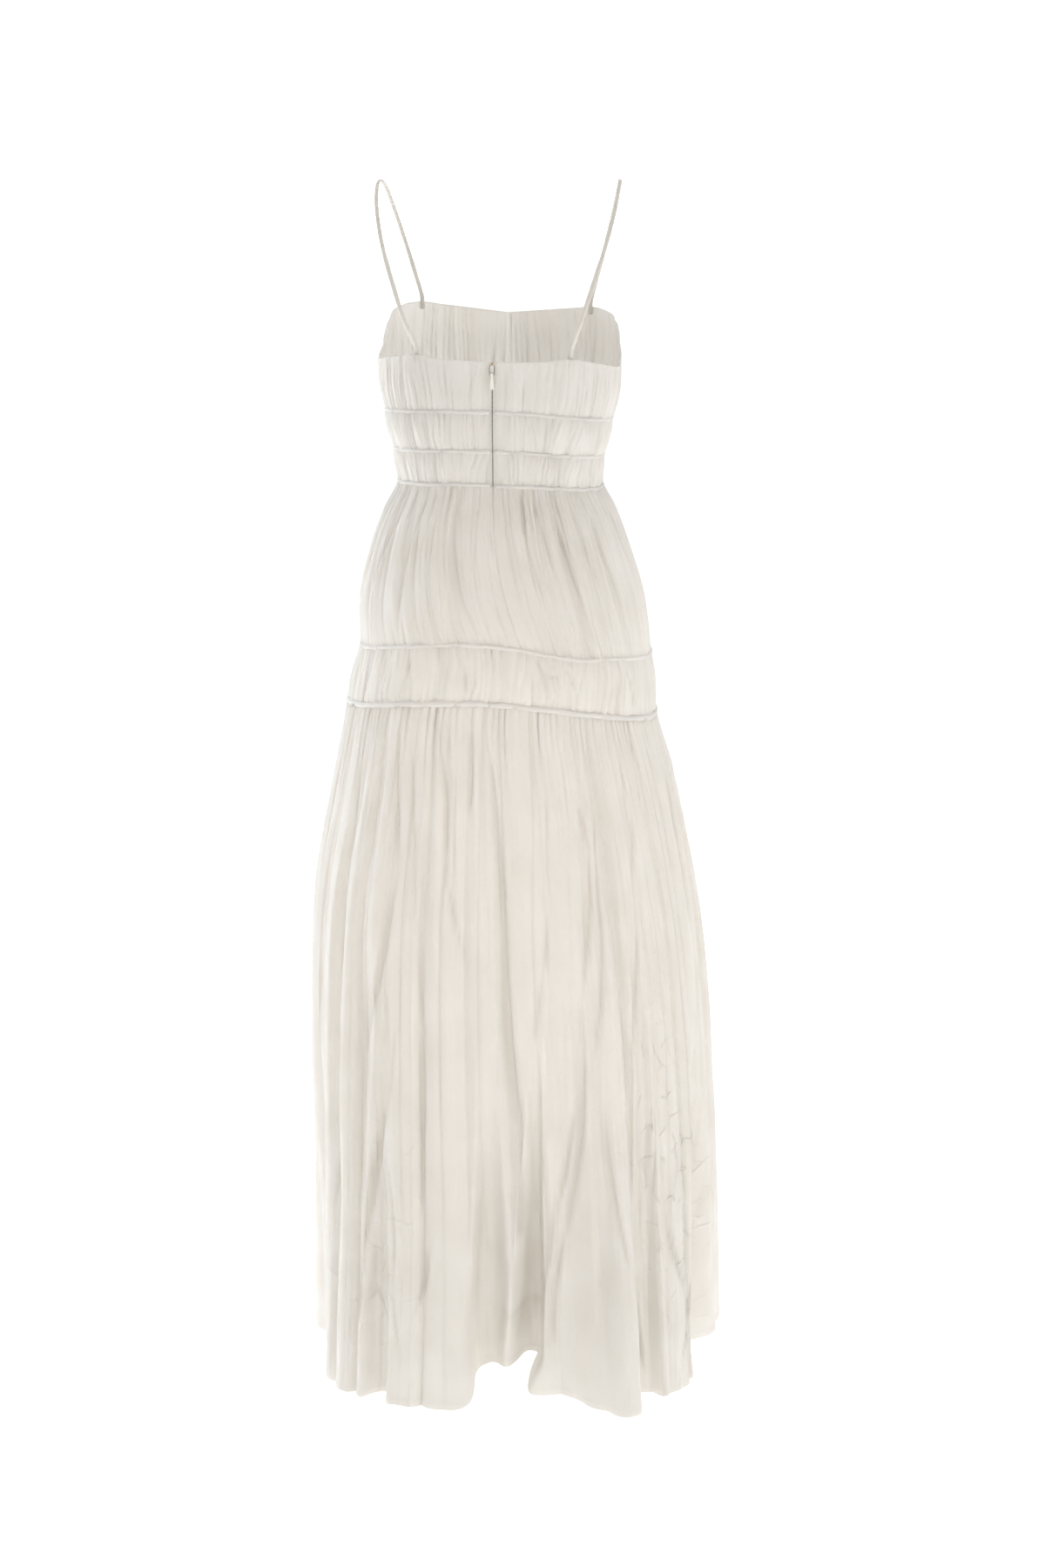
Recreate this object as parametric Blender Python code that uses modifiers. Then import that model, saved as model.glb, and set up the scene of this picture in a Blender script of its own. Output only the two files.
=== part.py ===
"""A maxi dress of thin crinkled cotton, open at the neck, under the straps and at the hem, as it is worn.

Frame: metres, +Z up. The front faces -Y, the zip is at the back (+Y) and the wearer's left is +X. The
origin is midway between the tops of the two straps, where the shoulders carry the dress.

Each band of cloth lies between two levels that run round the body. A place on it is given by `around`, in
degrees from the centre back towards the wearer's left, and by `down`, from 0 at its upper level to 1 at its
lower one. The smooth body shape comes from SECTIONS, and the puff, gathers and folds are moved out from it.
"""

import math
from collections import namedtuple

import bmesh
import bpy
from mathutils import Vector

MM = 0.001

# Cloth.
BODICE_WALL = 1.3 * MM
SKIRT_WALL = 1.5 * MM
SEAM_GAP = 0.3 * MM  # between pieces that are sewn together

# Corded seams and straps, as radii.
SEAM_CORD = 2.2 * MM
HIP_CORD = 3.4 * MM
STRAP = 2.3 * MM
CORD_PROUD = 1.0 * MM  # from the cloth's outer face out to a cord's centre
CORD_POINTS = 42  # round the body
STRAP_GAP = 0.6 * MM  # between a strap's end and the top edge
STRAP_LEAD = 7 * MM  # length of its upright end
STRAP_STEPS = 26

# Concealed zip at the centre back.
ZIP_GAP = 2.0 * MM  # between the two edges of cloth
ZIP_END = -0.343  # height of the tape's lower end
TAPE_WIDTH = 18 * MM
TAPE_WALL = 1.0 * MM
TAPE_DEPTH = BODICE_WALL + 0.6 * MM  # from the cloth's outer face in to the tape
TAPE_DROP = 0.5 * MM  # from the top edge down to the tape
SLIDER_TOP = -0.1895
SLIDER = Vector((5.0, 2.0, 10.0)) * MM  # width, depth, height
SLIDER_NECK = Vector((1.2, 2.4, 6.0)) * MM
EAR = Vector((0.8, 3.0, 2.8)) * MM
EARS_APART = 2.8 * MM  # clear width between the two ears
EAR_SET_BACK = 0.6 * MM  # from the pin in to the ears' middle
PIN = 0.45 * MM  # radius of the pin between the ears
PIN_PROUD = 1.6 * MM  # from the slider's face out to the pin
PULL_BARREL = 1.25 * MM  # radius of the pull tab's barrel, which turns on the pin
PULL_LENGTH = 16 * MM
PULL_WIDTH = 4.6 * MM
PULL_NECK = 2.0 * MM
PULL_NECK_LENGTH = 2.4 * MM
PULL_WALL = 1.0 * MM
STOP = Vector((1.3, 2.2, 2.4)) * MM
STOP_GAP = 0.6 * MM  # from the slider up to the stop
SLIDER_ROUNDING = 0.6 * MM
STOP_ROUNDING = 0.3 * MM

# Shape of the body that the dress follows, from the bust to the hem.
Section = namedtuple("Section", "height half_width back front square shift")
SECTIONS = (
    Section(-1.280, 0.2240, 0.2290, 0.1980, 0.062, -0.020),
    Section(-1.080, 0.2175, 0.2100, 0.1880, 0.050, -0.017),
    Section(-0.900, 0.2135, 0.1910, 0.1780, 0.042, -0.011),
    Section(-0.760, 0.2040, 0.1720, 0.1640, 0.035, -0.006),
    Section(-0.640, 0.1830, 0.1500, 0.1460, 0.030, -0.004),
    Section(-0.560, 0.1655, 0.1380, 0.1330, 0.030, -0.001),
    Section(-0.500, 0.1565, 0.1350, 0.1280, 0.030, -0.006),
    Section(-0.445, 0.1505, 0.1290, 0.1240, 0.030, -0.002),
    Section(-0.390, 0.1350, 0.1150, 0.1170, 0.035, 0.000),
    Section(-0.350, 0.1220, 0.1030, 0.1100, 0.035, 0.000),
    Section(-0.320, 0.1085, 0.0940, 0.1040, 0.040, 0.000),
    Section(-0.285, 0.1120, 0.0965, 0.1100, 0.040, 0.000),
    Section(-0.245, 0.1210, 0.1000, 0.1210, 0.040, 0.000),
    Section(-0.190, 0.1285, 0.1000, 0.1240, 0.040, 0.000),
    Section(-0.130, 0.1290, 0.0985, 0.1120, 0.040, 0.000),
)

# Heights of the seams and the hem at the centre back, the sides and the centre front, how much higher each
# runs at the wearer's left side, and how far it sags to the right of the centre back.
Level = namedtuple("Level", "back side front tilt sag")
LEVELS = {
    "seam_1": Level(-0.238, -0.247, -0.244, 0.0050, 0.000),
    "seam_2": Level(-0.279, -0.287, -0.283, 0.0040, 0.000),
    "waist": Level(-0.3145, -0.3215, -0.318, 0.0035, 0.000),
    "hip_upper": Level(-0.4755, -0.5005, -0.500, 0.0045, 0.008),
    "hip_lower": Level(-0.5360, -0.5640, -0.560, 0.0060, 0.002),
    "hem": Level(-1.2640, -1.2610, -1.262, -0.0050, 0.000),
}
SAG_ANGLE = -26.0
SAG_REACH = 18.0
HEM_LIFT = 28 * MM  # of the hem where the two deep folds near the centre back draw it up
HEM_LIFT_ANGLE = 0.5
HEM_LIFT_REACH = 8.0

# The top edge rises from the low back to the front, with a small peak at each strap.
EdgePoint = namedtuple("EdgePoint", "angle height")
TOP_EDGE = (
    EdgePoint(0, -0.1860),
    EdgePoint(20, -0.1850),
    EdgePoint(34, -0.1815),
    EdgePoint(50, -0.1860),
    EdgePoint(80, -0.1920),
    EdgePoint(95, -0.1860),
    EdgePoint(112, -0.1500),
    EdgePoint(124, -0.1405),
    EdgePoint(138, -0.1370),
    EdgePoint(152, -0.1400),
    EdgePoint(180, -0.1470),
)
TOP_EDGE_TILT = 0.004
STRAP_BACK = 34.0  # angles of the strap joints
STRAP_FRONT = 138.0

# Bands of cloth: gathers round the body, columns for each gather, rows down, and in millimetres the middle's
# puff and the gathers' height at the upper edge, in the middle and at the lower edge.
Band = namedtuple("Band", "upper lower wall gathers columns rows puff at_upper middle at_lower seed")
BANDS = {
    "bodice_tier1": Band("top", "seam_1", BODICE_WALL, 32, 3, 2, 2.0, 1.2, 2.5, 1.4, 1.0),
    "bodice_tier2": Band("seam_1", "seam_2", BODICE_WALL, 32, 3, 2, 2.4, 1.4, 2.6, 1.4, 2.0),
    "bodice_tier3": Band("seam_2", "waist", BODICE_WALL, 32, 3, 2, 1.8, 1.4, 2.4, 1.4, 3.0),
    "yoke": Band("waist", "hip_upper", SKIRT_WALL, 28, 3, 5, 2.5, 1.6, 3.4, 1.6, 4.0),
    "hip_band": Band("hip_upper", "hip_lower", SKIRT_WALL, 32, 3, 2, 3.0, 1.6, 3.0, 1.6, 5.0),
    "lower_skirt": Band("hip_lower", "hem", SKIRT_WALL, 36, 4, 9, 3.0, 2.2, 5.5, 7.0, 6.0),
}
GATHER_STRENGTH = 0.72  # of the middling gather
GATHER_SPREAD = 0.38  # how far the others differ from it
GATHER_FADE = 0.45  # share that the weakest lose on their way down
SLOW_DRIFT = 2.2  # degrees that a gather stands off its even place, in two waves round the body
QUICK_DRIFT = 1.3

# Large folds: the angle where each begins and the angle that it heads for at the lower edge, its half
# width in degrees, its depth, how far down it starts, is full and has ended, and how far its bottom leans to
# the wearer's left for each metre of depth.
Fold = namedtuple("Fold", "begins heads half_width depth start full end lean")
HEM = 2.00  # the end of a fold that runs off the lower edge
FOLDS = {
    "yoke": (
        Fold(17, 13, 2.6, 4.0 * MM, -0.20, 0.35, 1.30, 0.0),
        Fold(-12, -13, 2.2, 3.5 * MM, -0.20, 0.12, 0.40, 0.0),
        Fold(-19, -26, 2.4, 4.0 * MM, -0.20, 0.30, 0.80, 0.0),
        Fold(41, 36, 3.0, 3.5 * MM, -0.10, 0.40, 1.10, 0.0),
        Fold(-47, -44, 3.0, 3.5 * MM, -0.10, 0.45, 1.00, 0.0),
        Fold(74, 70, 3.0, 3.5 * MM, -0.10, 0.30, 0.90, 0.0),
        Fold(118, 122, 3.0, 4.0 * MM, -0.10, 0.35, 1.10, 0.0),
        Fold(152, 158, 2.6, 3.5 * MM, -0.20, 0.25, 0.80, 0.0),
        Fold(196, 193, 2.6, 4.0 * MM, -0.20, 0.40, 1.20, 0.0),
        Fold(229, 224, 3.0, 3.5 * MM, -0.10, 0.30, 0.90, 0.0),
    ),
    "lower_skirt": (
        Fold(1.5, 3.2, 4.3, 54 * MM, 0.50, 1.00, HEM, 0.12),
        Fold(-14, -4.2, 3.0, 72 * MM, 0.45, 1.00, HEM, -0.12),
        Fold(9.8, 9.8, 3.0, -3 * MM, 0.86, 1.00, HEM, 3.00),
        Fold(-9.0, -9.0, 2.8, -4 * MM, 0.95, 1.00, HEM, -3.50),
        Fold(3, -4, 2.4, 6 * MM, -0.10, 0.20, 0.55, 0.00),
        Fold(15, 5, 2.4, 6 * MM, -0.05, 0.20, 0.42, 0.00),
        Fold(-34, -26, 3.0, 7 * MM, -0.05, 0.16, 0.36, 0.00),
        Fold(-28, -24, 2.8, 8 * MM, 0.05, 0.26, 0.50, 0.00),
        Fold(-40, -36, 3.6, 22 * MM, 0.18, 0.95, HEM, -0.10),
        Fold(-32, -28, 5.0, -18 * MM, 0.45, 1.00, HEM, 0.00),
        Fold(-22, -11.0, 8.0, 31 * MM, 0.30, 1.00, HEM, 0.00),
        Fold(34, 38, 3.0, 8 * MM, 0.28, 0.50, 0.80, 0.00),
        Fold(32, 31.5, 3.2, 20 * MM, 0.45, 0.95, HEM, 0.00),
        Fold(68, 66, 9.5, 56 * MM, 0.30, 1.00, HEM, -0.20),
        Fold(-64, -67, 9.0, 52 * MM, 0.35, 1.00, HEM, 0.20),
        Fold(50, 48, 3.0, 8 * MM, 0.05, 0.40, 0.90, 0.00),
        Fold(-80, -81, 3.4, 9 * MM, 0.10, 0.50, 1.10, 0.00),
        Fold(97, 102, 5.0, 22 * MM, 0.20, 0.90, HEM, 0.00),
        Fold(121, 117, 4.0, 12 * MM, 0.02, 0.45, 1.10, 0.00),
        Fold(137, 140, 6.5, 34 * MM, 0.22, 1.00, HEM, -0.15),
        Fold(163, 158, 3.6, 14 * MM, 0.05, 0.55, 1.30, 0.00),
        Fold(178, 184, 7.0, 40 * MM, 0.15, 1.00, HEM, 0.15),
        Fold(205, 202, 3.4, 12 * MM, 0.10, 0.50, 1.00, 0.00),
        Fold(222, 219, 6.5, 32 * MM, 0.25, 1.00, HEM, -0.10),
        Fold(247, 251, 4.0, 16 * MM, 0.05, 0.60, HEM, 0.00),
    ),
}
FOLD_SHARPNESS = 4.0  # 2 makes rounded folds, and more makes them flat-bottomed with steep sides
FOLD_START_WIDTH = 0.40  # share of its half width that a fold has where it starts
FLAT_TO = 4.0  # degrees from the centre back where the puff beside the zip starts
FULL_FROM = 8.5  # and where it is full
YOKE_SEAM_DRIFT = -9.5  # degrees that the centre-back seam moves round by the yoke's lower edge

# Route of the wearer's left strap, from its back joint over the shoulder to its front joint. Its first and
# last points are set by the top edge.
STRAP_ROUTE = (
    Vector((0.0905, 0.0960, -0.1450)),
    Vector((0.1020, 0.0930, -0.1100)),
    Vector((0.1150, 0.0790, -0.0680)),
    Vector((0.1230, 0.0570, -0.0340)),
    Vector((0.1265, 0.0300, -0.0110)),
    Vector((0.1270, 0.0000, -STRAP)),
    Vector((0.1250, -0.0300, -0.0080)),
    Vector((0.1190, -0.0580, -0.0330)),
    Vector((0.1100, -0.0790, -0.0680)),
    Vector((0.1010, -0.0900, -0.1020)),
)

Finish = namedtuple("Finish", "name colour roughness metallic")
VOILE = Finish("cotton voile", (0.86, 0.84, 0.80), 0.85, 0.0)
VOILE_CORD = Finish("cotton voile cord", (0.84, 0.82, 0.77), 0.80, 0.0)
TAPE_CLOTH = Finish("zip tape", (0.84, 0.83, 0.79), 0.75, 0.0)
WHITE_METAL = Finish("white lacquered metal", (0.90, 0.89, 0.87), 0.35, 0.0)
BRASS = Finish("brass", (0.78, 0.60, 0.30), 0.30, 1.0)

PROBE = 0.4  # degrees to each side of a place where the cloth's direction is measured


# ---------------------------------------------------------------- numbers

def smooth_step(low, high, value):
    share = min(1.0, max(0.0, (value - low) / (high - low)))
    return share * share * (3 - 2 * share)


def smooth_curve(keys, values, at):
    """The value at `at` on a smooth curve through the points, whose keys rise."""
    at = min(keys[-1], max(keys[0], at))
    i = max(1, next(n for n, key in enumerate(keys) if key >= at)) - 1
    last = len(keys) - 1

    def slope(n):
        before = max(0, n - 1)
        after = min(last, n + 1)
        return (values[after] - values[before]) / (keys[after] - keys[before])

    span = keys[i + 1] - keys[i]
    share = (at - keys[i]) / span
    square = share * share
    cube = square * share
    return (
        values[i] * (2 * cube - 3 * square + 1)
        + values[i + 1] * (3 * square - 2 * cube)
        + span * slope(i) * (cube - 2 * square + share)
        + span * slope(i + 1) * (cube - square)
    )


def signed(angle):
    """The same angle between -180 and 180 degrees."""
    return (angle + 180.0) % 360.0 - 180.0


# ---------------------------------------------------------------- shape of the dress

HEIGHTS = [row.height for row in SECTIONS]
COLUMNS = {name: [getattr(row, name) for row in SECTIONS] for name in Section._fields}
EDGE_ANGLES = [point.angle for point in TOP_EDGE]
EDGE_HEIGHTS = [point.height for point in TOP_EDGE]


def section_at(height):
    return Section(*(smooth_curve(HEIGHTS, COLUMNS[name], height) for name in Section._fields))


def body_point(angle, height, out=0.0, aside=0.0):
    """A point of the smooth body shape, moved out along its normal and aside towards the wearer's left."""
    row = section_at(height)
    turn = math.radians(angle)
    depth = row.back if math.cos(turn) > 0 else row.front
    across = row.half_width / (1 - row.square)
    deep = depth / (1 - row.square)
    x = across * (math.sin(turn) + row.square * math.sin(3 * turn)) + row.shift
    y = deep * (math.cos(turn) - row.square * math.cos(3 * turn))
    along = Vector((
        across * (math.cos(turn) + 3 * row.square * math.cos(3 * turn)),
        deep * (-math.sin(turn) + 3 * row.square * math.sin(3 * turn)),
        0.0,
    )).normalized()
    outward = Vector((-along.y, along.x, 0.0))
    return Vector((x, y, height)) + outward * out + along * aside


def level_height(name, angle):
    turn = math.radians(angle)
    if name == "top":
        return smooth_curve(EDGE_ANGLES, EDGE_HEIGHTS, abs(signed(angle))) + TOP_EDGE_TILT * math.sin(turn)
    level = LEVELS[name]
    middle = level.back if math.cos(turn) > 0 else level.front
    moved = -level.sag * math.exp(-((signed(angle - SAG_ANGLE) / SAG_REACH) ** 2))
    if name == "hem":
        moved += HEM_LIFT * math.exp(-((signed(angle - HEM_LIFT_ANGLE) / HEM_LIFT_REACH) ** 2))
    return middle + (level.side - middle) * math.sin(turn) ** 2 + level.tilt * math.sin(turn) + moved


def cord_room(name):
    """How far a band's edge stands from a level, to leave room for the cord in the seam there."""
    if name in ("top", "hem"):
        return 0.0
    return (HIP_CORD if name == "hip_lower" else SEAM_CORD) + SEAM_GAP


def uneven(around, seed):
    """The angle of a place on a band: gathers come wider and narrower, and keep to the four seams."""
    turn = math.radians(around)
    shift = SLOW_DRIFT * math.sin(3 * turn + seed) + QUICK_DRIFT * math.sin(7 * turn + 2 * seed)
    return around + shift * math.sin(2 * turn) ** 2


def gather(band, around, down):
    """Height of the gathers: each has its own strength, and some die out on their way down."""
    place = band.gathers * around / 360.0
    number = math.floor(place) % band.gathers
    strength = GATHER_STRENGTH + GATHER_SPREAD * math.sin(2.4 * number + band.seed)
    if down < 0.5:
        height = band.at_upper + (band.middle - band.at_upper) * smooth_step(0.0, 0.5, down)
    else:
        height = band.middle + (band.at_lower - band.middle) * smooth_step(0.5, 1.0, down)
    weakness = 0.5 + 0.5 * math.sin(1.7 * number + 3 * band.seed)
    lasts = 1.0 - GATHER_FADE * weakness * down
    return height * MM * strength * lasts * math.sin(2 * math.pi * place)


def fold_at(fold, angle, down):
    """How far a large fold moves the cloth in, and aside, at a place."""
    rise = smooth_step(fold.start, fold.full, down)
    fall = 1.0 if fold.end == HEM else 1.0 - smooth_step(fold.full, fold.end, down)
    centre = fold.begins + (fold.heads - fold.begins) * down
    width = fold.half_width * (FOLD_START_WIDTH + (1 - FOLD_START_WIDTH) * rise)
    inward = fold.depth * rise * fall * math.exp(-abs(signed(angle - centre) / width) ** FOLD_SHARPNESS)
    return inward, inward * fold.lean


def cloth_point(name, around, down):
    """A point on the outer face of a band of cloth."""
    band = BANDS[name]
    angle = uneven(around, band.seed)
    near_back = signed(around)
    if name == "yoke" and abs(near_back) < 90:
        angle += YOKE_SEAM_DRIFT * down * down * math.cos(math.radians(near_back)) ** 2
    upper = level_height(band.upper, angle) - cord_room(band.upper)
    lower = level_height(band.lower, angle) + cord_room(band.lower)
    height = upper + (lower - upper) * down
    out = band.puff * MM * 4 * down * (1 - down) + gather(band, around, down)
    if name not in ("hip_band", "lower_skirt"):  # flat beside the zip and the centre-back seam
        out *= smooth_step(FLAT_TO, FULL_FROM, abs(near_back))
    aside = 0.0
    for fold in FOLDS.get(name, ()):
        inward, leans = fold_at(fold, angle, down)
        out -= inward
        aside += leans
    return body_point(angle, height, out, aside)


def wall_point(name, around, down, depth):
    """A point of the band's wall, this deep behind its outer face."""
    along = cloth_point(name, around + PROBE, down) - cloth_point(name, around - PROBE, down)
    along.z = 0.0
    along.normalize()
    outward = Vector((-along.y, along.x, 0.0))
    return cloth_point(name, around, down) - outward * depth


def angle_of(name, around, down, distance):
    """Degrees round the band that cover a small distance at a place."""
    along = cloth_point(name, around + PROBE, down) - cloth_point(name, around - PROBE, down)
    return 2 * PROBE * distance / along.length


def angle_at_back(height, distance):
    """Degrees round the smooth body that cover a small distance at the centre back."""
    along = body_point(PROBE, height) - body_point(-PROBE, height)
    return 2 * PROBE * distance / along.length


# ---------------------------------------------------------------- making objects

def clear_scene():
    for obj in list(bpy.data.objects):
        bpy.data.objects.remove(obj, do_unlink=True)


def new_collection(name):
    collection = bpy.data.collections.new(name)
    bpy.context.scene.collection.children.link(collection)
    return collection


def material_of(finish):
    found = bpy.data.materials.get(finish.name)
    if found:
        return found
    material = bpy.data.materials.new(finish.name)
    material.use_nodes = True
    shader = material.node_tree.nodes["Principled BSDF"]
    shader.inputs["Base Color"].default_value = (*finish.colour, 1.0)
    shader.inputs["Roughness"].default_value = finish.roughness
    shader.inputs["Metallic"].default_value = finish.metallic
    return material


def add_object(name, data, finish, collection):
    obj = bpy.data.objects.new(name, data)
    data.materials.append(material_of(finish))
    collection.objects.link(obj)
    return obj


def bent_slab(name, columns, rows, place, finish, collection, wall):
    """A flat slab of cloth, drawn as a grid, given a second face and bent by place(across, down, depth)."""
    sheet = bmesh.new()
    bmesh.ops.create_grid(sheet, x_segments=columns, y_segments=rows, size=0.5)
    made = bmesh.ops.extrude_face_region(sheet, geom=sheet.faces[:], use_keep_orig=True)
    inner = {item for item in made["geom"] if isinstance(item, bmesh.types.BMVert)}
    for vert in sheet.verts:
        across = round((vert.co.x + 0.5) * columns) / columns
        down = round((0.5 - vert.co.y) * rows) / rows
        vert.co = place(across, down, wall if vert in inner else 0.0)
    bmesh.ops.recalc_face_normals(sheet, faces=sheet.faces[:])
    mesh = bpy.data.meshes.new(name)
    sheet.to_mesh(mesh)
    sheet.free()
    mesh.shade_smooth()
    mesh.set_sharp_from_angle(angle=math.radians(50))
    return add_object(name, mesh, finish, collection)


def cloth_piece(name, band_name, start, end, start_gap, end_gap, collection):
    """One cut piece of a band, from one seam to the next, with half a gap left at each."""
    band = BANDS[band_name]
    columns = round((end - start) / 360 * band.gathers * band.columns)

    def place(across, down, depth):
        around = start + (end - start) * across
        if across == 0:
            around += angle_of(band_name, around, down, start_gap / 2)
        if across == 1:
            around -= angle_of(band_name, around, down, end_gap / 2)
        return wall_point(band_name, around, down, depth)

    return bent_slab(name, columns, band.rows, place, VOILE, collection, band.wall)


def tube(name, points, radius, sides_resolution, closed, finish, collection):
    curve = bpy.data.curves.new(name, "CURVE")
    curve.dimensions = "3D"
    curve.bevel_depth = radius
    curve.bevel_resolution = sides_resolution
    curve.use_fill_caps = not closed
    spline = curve.splines.new("POLY")
    spline.points.add(len(points) - 1)
    for spot, point in zip(spline.points, points):
        spot.co = (*point, 1.0)
    spline.use_cyclic_u = closed
    return add_object(name, curve, finish, collection)


def smooth_route(points, steps):
    """Evenly many points on a smooth curve through the route's points."""
    keys = [0.0]
    for before, after in zip(points, points[1:]):
        keys.append(keys[-1] + (after - before).length)
    axes = [[point[axis] for point in points] for axis in range(3)]
    return [
        Vector([smooth_curve(keys, axis, keys[-1] * step / steps) for axis in axes])
        for step in range(steps + 1)
    ]


def block(name, size, centre, finish, collection, rounding=0.0):
    """A box with rounded edges."""
    box = bmesh.new()
    bmesh.ops.create_cube(box, size=1.0)
    bmesh.ops.scale(box, vec=size, verts=box.verts)
    mesh = bpy.data.meshes.new(name)
    box.to_mesh(mesh)
    box.free()
    obj = add_object(name, mesh, finish, collection)
    obj.location = centre
    if rounding:
        bevel = obj.modifiers.new("rounded", "BEVEL")
        bevel.width = rounding
        bevel.segments = 2
    return obj


def bar_across(name, radius, length, centre, finish, collection):
    """A round bar along X."""
    bar = bmesh.new()
    bmesh.ops.create_cone(
        bar, cap_ends=True, segments=16, radius1=radius, radius2=radius, depth=length
    )
    mesh = bpy.data.meshes.new(name)
    bar.to_mesh(mesh)
    bar.free()
    mesh.shade_smooth()
    mesh.set_sharp_from_angle(angle=math.radians(40))
    obj = add_object(name, mesh, finish, collection)
    obj.rotation_euler = (0.0, math.pi / 2, 0.0)
    obj.location = centre
    return obj


def combine(obj, other, operation):
    """Joins another object to this one, or cuts it away."""
    other.hide_render = True
    other.display_type = "WIRE"
    boolean = obj.modifiers.new(other.name, "BOOLEAN")
    boolean.operation = operation
    boolean.object = other


# ---------------------------------------------------------------- sub-parts

def make_bodice(dress):
    """Three ruched tiers, each with a front and two back pieces that end at the zip."""
    for tier in ("bodice_tier1", "bodice_tier2", "bodice_tier3"):
        cloth_piece(tier + "_back_left", tier, 0, 90, ZIP_GAP, SEAM_GAP, dress)
        cloth_piece(tier + "_front", tier, 90, 270, SEAM_GAP, SEAM_GAP, dress)
        cloth_piece(tier + "_back_right", tier, 270, 360, SEAM_GAP, ZIP_GAP, dress)


def make_yoke(dress):
    cloth_piece("yoke_back_left", "yoke", 0, 90, SEAM_GAP, SEAM_GAP, dress)
    cloth_piece("yoke_front", "yoke", 90, 270, SEAM_GAP, SEAM_GAP, dress)
    cloth_piece("yoke_back_right", "yoke", 270, 360, SEAM_GAP, SEAM_GAP, dress)


def make_skirt(dress):
    for band in ("hip_band", "lower_skirt"):
        cloth_piece(band + "_back", band, -90, 90, SEAM_GAP, SEAM_GAP, dress)
        cloth_piece(band + "_front", band, 90, 270, SEAM_GAP, SEAM_GAP, dress)


def make_cords(dress):
    """Corded seams: three stop at the zip, and the two at the hips are closed rings."""
    for name, level in (("seam_cord_1", "seam_1"), ("seam_cord_2", "seam_2"), ("waist_cord", "waist")):
        edge = angle_at_back(LEVELS[level].back, ZIP_GAP / 2)
        angles = [edge + (360 - 2 * edge) * n / CORD_POINTS for n in range(CORD_POINTS + 1)]
        route = [body_point(a, level_height(level, a), CORD_PROUD) for a in angles]
        tube(name, route, SEAM_CORD, 1, False, VOILE_CORD, dress)
    for name, level, radius in (
        ("hip_cord_upper", "hip_upper", SEAM_CORD),
        ("hip_cord_lower", "hip_lower", HIP_CORD),
    ):
        angles = [360 * n / CORD_POINTS for n in range(CORD_POINTS)]
        route = [body_point(a, level_height(level, a), CORD_PROUD) for a in angles]
        tube(name, route, radius, 1, True, VOILE_CORD, dress)


def strap_joint(angle):
    """Where a strap ends just above the wall's top edge, and a point above it that makes it end level."""
    outer = cloth_point("bodice_tier1", angle, 0.0)
    inner = wall_point("bodice_tier1", angle, 0.0, BODICE_WALL)
    end = (outer + inner) / 2 + Vector((0.0, 0.0, STRAP_GAP))
    return end, end + Vector((0.0, 0.0, STRAP_LEAD))


def make_straps(dress):
    for name, side in (("strap_left", 1), ("strap_right", -1)):
        route = [Vector((side * p.x, p.y, p.z)) for p in STRAP_ROUTE]
        route = [*strap_joint(side * STRAP_BACK), *route, *reversed(strap_joint(side * STRAP_FRONT))]
        tube(name, smooth_route(route, STRAP_STEPS), STRAP, 1, False, VOILE_CORD, dress)


def make_zip(dress, tools):
    """Tape behind the gap, a stop at its top, and a slider whose neck passes through the gap."""
    top = level_height("top", 0.0) - TAPE_DROP
    half = angle_at_back(top, TAPE_WIDTH / 2)

    def place(across, down, depth):
        height = top + (ZIP_END - top) * down
        return body_point(half * (2 * across - 1), height, -TAPE_DEPTH - depth)

    bent_slab("zip_tape", 4, 14, place, TAPE_CLOTH, dress, TAPE_WALL)

    middle = SLIDER_TOP - SLIDER.z / 2
    face = body_point(0.0, middle)
    body_y = face.y + SEAM_GAP + SLIDER.y / 2
    slider = block("zip_slider", SLIDER, (0.0, body_y, middle), WHITE_METAL, dress, SLIDER_ROUNDING)
    neck_y = face.y - TAPE_DEPTH + SEAM_GAP + SLIDER_NECK.y / 2
    neck = block("slider_neck", SLIDER_NECK, (0.0, neck_y, middle), WHITE_METAL, tools)
    combine(slider, neck, "UNION")
    hinge = Vector((0.0, body_y + SLIDER.y / 2 + PIN_PROUD, SLIDER_TOP - SLIDER.z + EAR.z / 2))
    for side in (-1, 1):
        seat = hinge + Vector((side * (EARS_APART + EAR.x) / 2, -EAR_SET_BACK, 0.0))
        combine(slider, block("slider_ear", EAR, seat, WHITE_METAL, tools), "UNION")
    pin = bar_across("slider_pin", PIN, EARS_APART + EAR.x, hinge, WHITE_METAL, tools)
    combine(slider, pin, "UNION")

    stop_y = face.y - TAPE_DEPTH + SEAM_GAP + STOP.y / 2
    stop_z = SLIDER_TOP + STOP_GAP + STOP.z / 2
    block("zip_stop", STOP, (0.0, stop_y, stop_z), BRASS, dress, STOP_ROUNDING)
    make_pull(hinge, dress, tools)


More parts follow.
